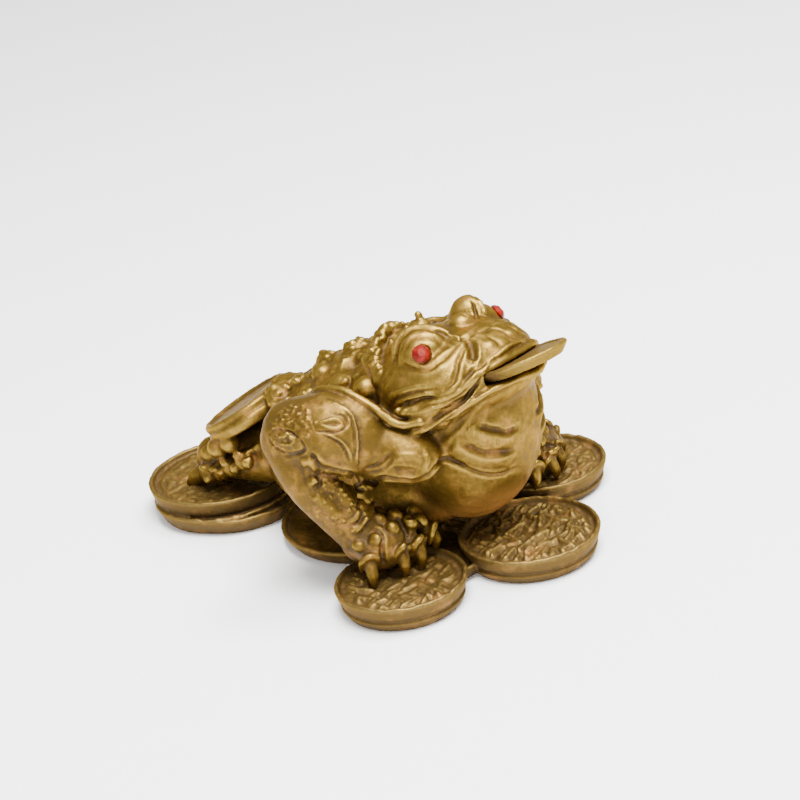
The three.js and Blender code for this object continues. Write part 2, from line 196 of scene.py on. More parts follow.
MOUTH = (
    Stroke(Profile.GROOVE, 0.6, 0.55, (
        (475, 363), (469, 374), (460, 385), (450, 394), (439, 398), (427, 399), (416, 402), (406, 408),
    )),
    Stroke(Profile.RIDGE, 0.8, 0.35, (
        (480, 365), (473, 376), (464, 387), (454, 396), (441, 400), (427, 402), (416, 406), (407, 411),
    )),
    Stroke(Profile.GROOVE, 0.45, 0.45, (
        (484, 368), (476, 379), (467, 391), (456, 399), (444, 404), (431, 405), (419, 408), (411, 411),
    )),
    Stroke(Profile.RIDGE, 0.6, 0.5, (
        (524, 340), (514, 343), (507, 346), (499, 354), (490, 360), (484, 368), (475, 380), (465, 393),
        (454, 401), (441, 406), (427, 409), (414, 411), (404, 416),
    )),
    Stroke(Profile.GROOVE, 0.65, 1, (
        (484, 376), (474, 390), (463, 400), (450, 409), (437, 417), (429, 424), (425, 429),
    )),
    Stroke(Profile.RIDGE, 0.5, 0.45, (
        (482, 382), (473, 392), (463, 402), (450, 413), (439, 422), (429, 429), (422, 434),
    )),
    Stroke(Profile.GROOVE, 0.4, 0.45, (
        (489, 389), (477, 394), (467, 403), (454, 415), (443, 424), (429, 435),
    )),
    Stroke(Profile.RIDGE, 0.7, 0.4, (
        (539, 371), (527, 375), (513, 381), (499, 388), (484, 394), (472, 401), (460, 412), (449, 423),
        (437, 433), (427, 440),
    )),
    Stroke(Profile.GROOVE, 0.9, 0.5, (
        (527, 381), (513, 387), (498, 394), (486, 401), (474, 411), (461, 422), (450, 432), (439, 440),
    )),
)
CHEEK = (
    Stroke(Profile.RIDGE, 0.6, 0.55, ((385, 406), (391, 398), (401, 393), (413, 389), (424, 388))),
    Stroke(Profile.GROOVE, 0.5, 0.6, ((390, 407), (396, 399), (407, 395), (420, 392), (434, 390))),
    Stroke(Profile.RIDGE, 0.55, 0.5, (
        (391, 414), (394, 407), (401, 401), (413, 397), (427, 395), (441, 391),
    )),
    Stroke(Profile.GROOVE, 0.5, 0.6, ((396, 415), (399, 409), (407, 403), (419, 400), (430, 398))),
    Stroke(Profile.RIDGE, 0.5, 0.5, ((399, 416), (402, 411), (410, 406), (420, 403))),
    Stroke(Profile.GROOVE, 0.9, 0.6, ((379, 396), (381, 385), (387, 376), (391, 369))),
)
FAR_BROW = (
    Stroke(Profile.GROOVE, 0.6, 0.6, ((473, 300), (476, 308), (477, 317))),
    Stroke(Profile.RIDGE, 0.8, 0.6, ((479, 299), (483, 306), (485, 314))),
    Stroke(Profile.RIDGE, 0.8, 0.35, ((493, 323), (503, 322), (513, 326), (521, 332))),
)
THROAT = (
    Stroke(Profile.GROOVE, 0.95, 0.6, ((481, 426), (489, 430), (499, 432), (509, 432), (518, 428))),
    Stroke(Profile.RIDGE, 2.3, 0.6, ((470, 426), (479, 434), (491, 438), (504, 439), (514, 436))),
    Stroke(Profile.GROOVE, 0.95, 0.7, ((461, 444), (473, 449), (484, 453), (499, 454), (513, 451))),
    Stroke(Profile.RIDGE, 2.3, 0.6, ((450, 444), (461, 451), (476, 457), (493, 460), (510, 457))),
    Stroke(Profile.GROOVE, 0.7, 0.35, ((443, 460), (460, 466), (480, 474), (498, 476), (517, 468))),
    Stroke(Profile.GROOVE, 1, 0.6, ((441, 462), (452, 463), (463, 466))),
)
UPPER_ARM = (
    Stroke(Profile.FLAP, 2, 1.5, ((359, 462), (360, 452), (360, 439), (358, 425), (352, 412), (338, 402))),
    Stroke(Profile.GROOVE, 0.45, 0.35, ((343, 408), (352, 418), (355, 432), (356, 447), (355, 460))),
    Stroke(Profile.RIDGE, 0.45, 0.4, (
        (320, 422), (328, 419), (338, 419), (343, 424), (338, 428), (328, 427), (320, 424),
    )),
    Stroke(Profile.GROOVE, 0.4, 0.35, (
        (315, 430), (325, 432), (337, 432), (347, 427), (349, 420), (343, 414), (332, 412),
    )),
    Stroke(Profile.RIDGE, 0.45, 0.4, ((322, 432), (333, 436), (343, 442), (350, 452), (352, 462))),
    Stroke(Profile.GROOVE, 0.4, 0.35, ((322, 435), (332, 439), (341, 444), (347, 453), (348, 462))),
    Stroke(Profile.GROOVE, 0.45, 0.45, (
        (269, 435), (277, 430), (290, 433), (301, 443), (303, 451), (290, 455), (276, 449), (268, 439),
    )),
    Stroke(Profile.RIDGE, 0.45, 0.35, ((276, 439), (285, 435), (294, 441), (288, 446), (278, 444))),
    Stroke(Profile.CUT, 0.7, 0.5, ((283, 457), (294, 456), (305, 450))),
    Stroke(Profile.GROOVE, 1, 0.8, (
        (313, 458), (318, 466), (330, 471), (343, 473), (353, 476), (365, 480), (378, 482), (395, 481),
        (415, 482), (428, 476),
    )),
    Stroke(Profile.RIDGE, 0.8, 0.4, ((315, 453), (323, 462), (335, 467), (348, 470), (360, 473))),
)
CHEST = (
    Stroke(Profile.CUT, 0.8, 0.7, ((365, 471), (375, 467), (383, 460), (390, 453))),
    Stroke(Profile.CUT, 0.7, 0.5, ((369, 474), (380, 470), (388, 463), (392, 457))),
    Stroke(Profile.GROOVE, 1.4, 0.7, ((393, 473), (403, 472), (417, 475))),
    Stroke(Profile.GROOVE, 1, 0.7, ((442, 460), (435, 470), (425, 480))),
    Stroke(Profile.RIDGE, 1.2, 0.5, ((395, 458), (405, 456), (417, 457), (425, 462))),
    Stroke(Profile.RIDGE, 0.8, 0.5, ((427, 453), (429, 460), (425, 470))),
)
FOREARM = (
    Stroke(Profile.RIDGE, 1.2, 0.6, ((306, 462), (310, 474), (316, 487))),
    Stroke(Profile.RIDGE, 2.1, 0.75, ((321, 481), (336, 484), (347, 495), (354, 506))),
    Stroke(Profile.RIDGE, 1.5, 0.55, ((314, 495), (328, 507), (341, 519))),
    Stroke(Profile.RIDGE, 0.8, 0.55, ((352, 524), (360, 514), (362, 502))),
    Stroke(Profile.RIDGE, 0.8, 0.5, ((357, 532), (364, 522), (367, 510))),
    Stroke(Profile.RIDGE, 1.3, 0.7, ((302, 464), (310, 462), (316, 470), (315, 480), (307, 487))),
    Stroke(Profile.CUT, 0.8, 0.6, ((310, 455), (318, 467), (319, 480), (317, 490))),
    Stroke(Profile.RIDGE, 2.2, 0.7, ((352, 478), (362, 487), (365, 497))),
    Stroke(Profile.GROOVE, 0.8, 0.6, ((345, 478), (355, 487), (360, 498), (358, 508))),
    Stroke(Profile.RIDGE, 0.9, 0.6, ((362, 527), (368, 517), (368, 502))),
    Stroke(Profile.GROOVE, 0.8, 0.6, ((352, 527), (360, 517), (361, 503))),
    Stroke(Profile.RIDGE, 0.8, 0.5, ((352, 530), (358, 522), (365, 513))),
)
TOE_GAPS = (
    Stroke(Profile.GROOVE, 0.8, 0.7, ((378, 530), (383, 545), (384, 560), (385, 567))),
    Stroke(Profile.GROOVE, 0.8, 0.7, ((398, 520), (408, 535), (409, 548), (409, 556))),
    Stroke(Profile.GROOVE, 0.8, 0.7, ((408, 516), (420, 529), (424, 542))),
)


@dataclass(frozen=True)
class Ball:
    """A stretched ball of clay. The pitch is how far its front end is raised, in degrees."""

    centre: Point
    half: Point
    pitch: float = 0.0
    fine: int = 4


@dataclass(frozen=True)
class Limb:
    """A limb of clay: the points of a curve, the radius at each, and the number of faces round it."""

    points: tuple[Point, ...]
    radii: tuple[float, ...]
    sides: int = 16


class Clay:
    """Soft forms gathered as closed balls, limbs and turned pieces, then fused into one skin."""

    blunt: float = 0.9  # how far each end of a limb is rounded out, as a share of its radius

    def __init__(self) -> None:
        """Start with nothing."""
        self.places: list[np.ndarray] = []
        self.corners: list[np.ndarray] = []
        self.counts: list[np.ndarray] = []
        self.held = 0

    def add(self, form: bmesh.types.BMesh, matrix: Matrix = LEVEL) -> None:
        """Take over one closed form.

        Args:
            form: the form, which is freed.
            matrix: where it goes.
        """
        bmesh.ops.transform(form, matrix=matrix, verts=form.verts)
        if matrix.determinant() < 0:
            bmesh.ops.reverse_faces(form, faces=form.faces)
        mesh = bpy.data.meshes.new("form")
        form.to_mesh(mesh)
        form.free()
        skin = Skin(mesh)
        bpy.data.meshes.remove(mesh)
        self.add_skin(skin)

    def add_skin(self, skin: "Skin") -> None:
        """Add a skin, such as one that was fused before.

        Args:
            skin: the skin.
        """
        self.places.append(skin.place)
        self.corners.append(skin.loops + self.held)
        self.counts.append(skin.totals)
        self.held += len(skin.place)

    def ball(self, ball: Ball, turn: Matrix = LEVEL) -> None:
        """Add a stretched ball.

        Args:
            ball: the ball.
            turn: a turn applied to it.
        """
        form = bmesh.new()
        bmesh.ops.create_icosphere(form, subdivisions=ball.fine, radius=1.0)
        place = Matrix.Translation(ball.centre) @ Matrix.Rotation(math.radians(-ball.pitch), 4, "X")
        self.add(form, turn @ place @ Matrix.Diagonal((*ball.half, 1.0)))

    def balls(self, balls: tuple[Ball, ...], turn: Matrix = LEVEL) -> None:
        """Add several stretched balls."""
        for ball in balls:
            self.ball(ball, turn)

    def limb(self, limb: Limb, turn: Matrix = LEVEL) -> None:
        """Add a limb, a ball drawn out along a smooth curve.

        Args:
            limb: the limb.
            turn: a turn applied to it.
        """
        samples, places = along_curve(np.array(limb.points), max(0.35 * min(limb.radii), 0.3))
        sizes = np.interp(places, range(len(limb.radii)), limb.radii)
        ways = np.gradient(samples, axis=0)
        ways /= np.linalg.norm(ways, axis=1)[:, None]
        caps = [(self.blunt * share, size) for share, size in ((1.0, 0.0), (0.86, 0.5), (0.5, 0.86))]
        rings = [(0, -shift, size) for shift, size in caps]
        rings += [(i, 0.0, 1.0) for i in range(len(samples))]
        rings += [(-1, shift, size) for shift, size in reversed(caps)]
        normal = np.cross((0.0, 0.0, 1.0), ways[0])
        if np.linalg.norm(normal) < 0.1:
            normal = np.array((1.0, 0.0, 0.0))
        frames = []
        for i, shift, size in rings:
            normal = normal - (normal @ ways[i]) * ways[i]
            normal = normal / np.linalg.norm(normal)
            other = np.cross(ways[i], normal)
            frames.append((samples[i] + ways[i] * shift * sizes[i], normal, other, sizes[i] * size))
        form = bmesh.new()
        bmesh.ops.create_uvsphere(form, u_segments=limb.sides, v_segments=len(rings) - 1, radius=1.0)
        for vert in form.verts:
            around = math.atan2(vert.co.y, vert.co.x)
            row = round(math.acos(max(-1.0, min(1.0, vert.co.z))) / math.pi * (len(rings) - 1))
            centre, across, up, radius = frames[row]
            bend = across * (math.cos(around) * radius) + up * (math.sin(around) * radius)
            vert.co = Vector(centre + bend)
        bmesh.ops.recalc_face_normals(form, faces=form.faces)
        self.add(form, turn)

    def lathe(self, profile: tuple[tuple[float, float], ...], matrix: Matrix, sides: int = 96) -> None:
        """Add a turned form.

        Args:
            profile: radius and height of each point, from the axis and back to it.
            matrix: where the form stands.
            sides: the number of faces round it.
        """
        form = bmesh.new()
        ring = [form.verts.new((r, 0.0, z)) for r, z in profile]
        edges = [form.edges.new(pair) for pair in zip(ring, ring[1:])]
        bmesh.ops.spin(
            form, geom=ring + edges, axis=(0, 0, 1), cent=(0, 0, 0), steps=sides,
            angle=math.tau, use_merge=True,
        )
        bmesh.ops.remove_doubles(form, verts=form.verts, dist=1e-5)
        bmesh.ops.recalc_face_normals(form, faces=form.faces)
        self.add(form, matrix)

    def joined(self) -> bpy.types.Mesh:
        """Put all forms in one mesh, each still whole.

        Returns:
            The mesh.
        """
        mesh = bpy.data.meshes.new("clay")
        places = np.concatenate(self.places)
        corners = np.concatenate(self.corners)
        counts = np.concatenate(self.counts)
        mesh.vertices.add(len(places))
        mesh.vertices.foreach_set("co", places.astype(np.float32).ravel())
        mesh.loops.add(len(corners))
        mesh.loops.foreach_set("vertex_index", corners.astype(np.int32))
        mesh.polygons.add(len(counts))
        mesh.polygons.foreach_set("loop_start", (np.cumsum(counts) - counts).astype(np.int32))
        mesh.update(calc_edges=True)
        return mesh

    def fuse(self, voxel: float) -> "Skin":
        """Fuse everything into one closed skin.

        Args:
            voxel: the size of one face of the skin.

        Returns:
            The skin.
        """
        source = self.joined()
        lump = bpy.data.objects.new("clay", source)
        bpy.context.scene.collection.objects.link(lump)
        remesh = lump.modifiers.new("fuse", "REMESH")
        remesh.mode = "VOXEL"
        remesh.voxel_size = voxel
        bpy.context.view_layer.update()
        graph = bpy.context.evaluated_depsgraph_get()
        fused = bpy.data.meshes.new_from_object(lump.evaluated_get(graph))
        bpy.data.objects.remove(lump)
        bpy.data.meshes.remove(source)
        skin = Skin(fused)
        bpy.data.meshes.remove(fused)
        return skin


class Skin:
    """A closed surface whose points are pushed about, as clay is with a tool. Millimetres."""

    seat_reach: float = 4.0  # how far above a seat the surface is still pressed down
    slot_lip: float = 0.4  # the surface this near a slot's floor or roof is laid on it

    def __init__(self, mesh: bpy.types.Mesh) -> None:
        """Take over a mesh's points and faces.

        Args:
            mesh: the mesh, which stays as it is.
        """
        count = len(mesh.vertices)
        self.place = np.empty(count * 3, np.float32)
        mesh.vertices.foreach_get("co", self.place)
        self.place = self.place.reshape(-1, 3).astype(float)
        self.edges = np.empty(len(mesh.edges) * 2, np.int32)
        mesh.edges.foreach_get("vertices", self.edges)
        self.edges = self.edges.reshape(-1, 2)
        self.loops = np.empty(len(mesh.loops), np.int32)
        mesh.loops.foreach_get("vertex_index", self.loops)
        self.starts = np.empty(len(mesh.polygons), np.int32)
        mesh.polygons.foreach_get("loop_start", self.starts)
        self.totals = np.empty(len(mesh.polygons), np.int32)
        mesh.polygons.foreach_get("loop_total", self.totals)
        self.ends = np.concatenate([self.edges, self.edges[:, ::-1]])
        self.valence = np.bincount(self.ends[:, 0], minlength=count).astype(float)
        self.layers: dict[str, np.ndarray] = {}

    def mean(self, values: np.ndarray) -> np.ndarray:
        """Mean of each point's neighbours.

        Args:
            values: one value or one row for each point.

        Returns:
            The means, in the same form.
        """
        home, other = self.ends[:, 0], self.ends[:, 1]
        if values.ndim == 1:
            return np.bincount(home, values[other], len(self.valence)) / self.valence
        columns = [self.mean(values[:, i]) for i in range(values.shape[1])]
        return np.stack(columns, axis=1)

    def relax(self, times: int, strength: float | np.ndarray = 0.5) -> None:
        """Smooth the surface.

        Args:
            times: how often.
            strength: the share of the way to the neighbours' mean, for all or for each point.
        """
        share = strength if np.isscalar(strength) else np.asarray(strength)[:, None]
        for _ in range(times):
            self.place += (self.mean(self.place) - self.place) * share

    def normals(self, spread: int = 0) -> np.ndarray:
        """Outward directions of the points.

        Args:
            spread: how often they are smoothed.

        Returns:
            One unit row for each point.
        """
        corner = [self.place[self.loops[self.starts + k]] for k in range(3)]
        last = self.place[self.loops[self.starts + self.totals - 1]]
        face = np.cross(corner[2] - corner[0], last - corner[1])
        out = np.zeros_like(self.place)
        for k in range(4):
            held = self.totals > k
            point = self.loops[self.starts[held] + k]
            for axis in range(3):
                out[:, axis] += np.bincount(point, face[held, axis], len(out))
        for _ in range(spread):
            out = self.mean(out)
        return out / np.maximum(np.linalg.norm(out, axis=1), 1e-9)[:, None]

    def near(self, low: np.ndarray, high: np.ndarray) -> np.ndarray:
        """Indices of the points inside a box."""
        return np.nonzero(((self.place > low) & (self.place < high)).all(axis=1))[0]

    def carve(
        self, profile: Profile, width: float, depth: float, points: list[Point], out: np.ndarray
    ) -> None:
        """Carve one stroke.

        Args:
            profile: the stroke's section.
            width: its half-width.
            depth: its depth, or height for a ridge.
            points: where it runs.
            out: the outward directions that the tool follows.
        """
        path, _ = along_curve(np.array(points), 0.5)
        reach = width * 2.2
        found = self.near(path.min(0) - reach - 1.5, path.max(0) + reach + 1.5)
        if not len(found):
            return
        here = self.place[found]
        nearest = np.array([np.argmin(((here - p) ** 2).sum(1)) for p in path])
        path = here[nearest]
        facing = out[found][nearest]
        gap = np.linalg.norm(np.diff(path, axis=0), axis=1)
        keep = np.concatenate([[True], gap > 0.05])
        path, facing = path[keep], facing[keep]
        if len(path) < 3:
            return
        for _ in range(2):
            path[1:-1] = (path[:-2] + 2 * path[1:-1] + path[2:]) / 4
        best = np.full(len(found), np.inf)
        run = np.zeros(len(found))
        side = np.zeros(len(found))
        agree = np.ones(len(found))
        for i in range(len(path) - 1):
            start, way = path[i], path[i + 1] - path[i]
            t = np.clip(((here - start) @ way) / (way @ way), 0, 1)
            offset = here - start - t[:, None] * way
            distance = np.linalg.norm(offset, axis=1)
            closer = distance < best
            best[closer] = distance[closer]
            run[closer] = ((i + t) / (len(path) - 1))[closer]
            across = np.cross(way, facing[i])
            side[closer] = np.sign(offset @ across)[closer]
            agree[closer] = (out[found] @ facing[i])[closer]
        u = best / width
        taper = np.sqrt(np.clip(np.sin(np.pi * np.clip(run, 0.02, 0.98)) * 2.2, 0, 1))
        inside = np.clip(1 - u**2, 0, 1)
        if profile is Profile.GROOVE:
            shape = -(inside**1.5) + 0.10 * np.clip(1 - ((u - 1.35) / 0.75) ** 2, 0, 1)
        elif profile is Profile.CUT:
            shape = -np.clip(1 - u, 0, 1)
        elif profile is Profile.RIDGE:
            shape = inside**1.2
        else:
            fall = np.clip(1 - u / 2, 0, 1) ** 2
            shape = np.where(side > 0, -fall, 0.55 * fall) * np.clip(u * 3 + 0.35, 0, 1)
        push = depth * shape * taper * np.clip(agree * 2, 0, 1)
        self.place[found] += out[found] * push[:, None]

    def swell(self, centre: Point, radius: float, height: float, out: np.ndarray) -> None:
        """Raise a rounded bump, or press a hollow where the height is negative.

        Args:
            centre: its middle, near the surface.
            radius: its radius.
            height: how far it stands out.
            out: the outward directions.
        """
        middle = np.array(centre, float)
        found = self.near(middle - radius * 1.6, middle + radius * 1.6)
        if not len(found):
            return
        here = self.place[found]
        home = here[np.argmin(((here - middle) ** 2).sum(1))]
        u = np.linalg.norm(here - home, axis=1) / radius
        rise = np.clip(1 - u**2, 0, 1)
        self.place[found] += out[found] * (height * np.sqrt(rise) * rise)[:, None]

    def stipple(
        self, centre: Point, half: Point, count: int, size: float, height: float, out: np.ndarray, seed: int
    ) -> None:
        """Scatter small bumps over a patch.

        Args:
            centre: the patch's middle.
            half: its three half-widths.
            count: how many bumps.
            size: the mean radius of one bump.
            height: how far it stands out.
            out: the outward directions.
            seed: which scatter.
        """
        rng = np.random.default_rng(seed)
        offset = (self.place - np.array(centre)) / np.array(half)
        found = np.nonzero((offset**2).sum(1) < 1)[0]
        if not len(found):
            return
        for home in rng.choice(found, count):
            scale = rng.uniform(0.6, 1.4)
            self.swell(tuple(self.place[home]), size * scale, height * scale, out)

    def open_slot(self, frame: Matrix, radius: float, low: float, high: float) -> None:
        """Push the surface back so that a disc can lie in it.

        Args:
            frame: the disc's frame, its axis along Z and the way in along Y.
            radius: the slot's radius.
            low: the slot's floor.
            high: the slot's roof.
        """
        turn = np.array(frame.to_3x3())
        middle = np.array(frame.translation)
        local = (self.place - middle) @ turn
        reach = radius**2 - (local[:, :2] ** 2).sum(1)
        found = np.nonzero((reach > 0) & (local[:, 2] > low) & (local[:, 2] < high))[0]
        x, y, z = local[found].T
        back = np.sqrt(radius**2 - x**2)
        up, down = high - z < self.slot_lip, z - low < self.slot_lip
        y = np.where(up | down, y, back)
        z = np.where(up, high, np.where(down, low, z))
        self.place[found] = np.stack([x, y, z], axis=1) @ turn.T + middle
        border = np.zeros(len(self.place))
        border[found] = 1.0
        for _ in range(3):
            border = self.mean(border)
        self.relax(3, 0.4 * np.clip(4 * border * (1 - border), 0, 1))

    def press_seat(self, frame: Matrix, radius: float, floor: float) -> None:
        """Press a round flat seat into the surface.

        Args:
            frame: the seat's frame, facing out along Z.
            radius: its radius.
            floor: its depth along Z.
        """
        turn = np.array(frame.to_3x3())
        middle = np.array(frame.translation)
        local = (self.place - middle) @ turn
        round_it = local[:, 0] ** 2 + local[:, 1] ** 2 < radius**2
        inside = round_it & (local[:, 2] > floor) & (local[:, 2] < self.seat_reach)
        local[inside, 2] = floor
        self.place[inside] = local[inside] @ turn.T + middle

    def turn(self, matrix: Matrix) -> None:
        """Move the whole skin by a matrix."""
        self.place = self.place @ np.array(matrix.to_3x3()).T + np.array(matrix.translation)

    def measure_hollows(self) -> None:
        """Keep how far each point stands above its surroundings, finely and broadly."""
        out = self.normals(2)
        for name, times in (("fine_relief", 6), ("broad_relief", 40)):
            smooth = self.place.copy()
            for _ in range(times):
                smooth += (self.mean(smooth) - smooth) * 0.8
            self.layers[name] = ((self.place - smooth) * out).sum(1)

    def to_mesh(self, name: str) -> bpy.types.Mesh:
        """Write the skin out in metres.

        Args:
            name: the mesh's name.

        Returns:
            The new mesh, with the kept layers as attributes.
        """
        mesh = bpy.data.meshes.new(name)
        mesh.vertices.add(len(self.place))
        placed = self.place * MM
        mesh.vertices.foreach_set("co", placed.astype(np.float32).ravel())
        mesh.loops.add(len(self.loops))
        mesh.loops.foreach_set("vertex_index", self.loops)
        mesh.polygons.add(len(self.starts))
        mesh.polygons.foreach_set("loop_start", self.starts)
        mesh.update(calc_edges=True)
        for layer, values in self.layers.items():
            attribute = mesh.attributes.new(layer, "FLOAT", "POINT")
            attribute.data.foreach_set("value", values.astype(np.float32))
        mesh.polygons.foreach_set("use_smooth", np.ones(len(self.starts), bool))
        return mesh


class Sighting:
    """A skin as the camera sees it, on which lines drawn over the photograph are laid."""

    reach: float = 1.5  # pixels from a spot within which the skin's nearest point is taken

    def __init__(self, skin: Skin) -> None:
        """Note where each of the skin's points shows in the picture.

        Args:
            skin: the skin, not yet carved.
        """
        studio = Studio()
        turn = np.array(studio.pose().inverted())
        seen = (skin.place + (0, 0, SEAT)) @ turn[:3, :3].T + turn[:3, 3]
        self.away = -seen[:, 2]
        scale = studio.picture * studio.lens / studio.film
        self.spots = studio.picture / 2 + scale * seen[:, :2] * (1, -1) / self.away[:, None]
        self.place = skin.place.copy()

    def lay(self, trace: tuple[Spot, ...]) -> list[Point]:
        """Lay a line on the skin.

        Args:
            trace: the line's spots in the picture.

        Returns:
            The points of the skin that show there.
        """
        points = []
        for spot in trace:
            near = np.nonzero(((self.spots - spot) ** 2).sum(1) < self.reach**2)[0]
            if len(near):
                points.append(tuple(self.place[near[np.argmin(self.away[near])]]))
        return points


def show(mesh: bpy.types.Mesh, name: str, replaced: str, triangles: int = 0) -> bpy.types.Object:
    """Put a finished mesh in the scene in place of a CAD node.

    Args:
        mesh: the finished mesh.
        name: the piece's name.
        replaced: the CAD node that it stands for.
        triangles: thin the mesh to this many triangles, or 0 to keep it.

    Returns:
        The piece.
    """
    piece = bpy.data.objects.new(name, mesh)
    bpy.context.scene.collection.objects.link(piece)
    count = sum(len(p.vertices) - 2 for p in mesh.polygons)
    if triangles and count > triangles:
        thin = piece.modifiers.new("thin", "DECIMATE")
        thin.ratio = triangles / count
        bpy.context.view_layer.update()
        graph = bpy.context.evaluated_depsgraph_get()
        thinned = bpy.data.meshes.new_from_object(piece.evaluated_get(graph))
        piece.modifiers.clear()
        piece.data = thinned
        bpy.data.meshes.remove(mesh)
        thinned.name = name
        thinned.set_sharp_from_angle(angle=math.radians(SHARP_ANGLE))
        count = sum(len(p.vertices) - 2 for p in thinned.polygons)
    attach(piece, "root")
    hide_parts(replaced)
    log.info("%s: %d triangles", name, count)
    return piece


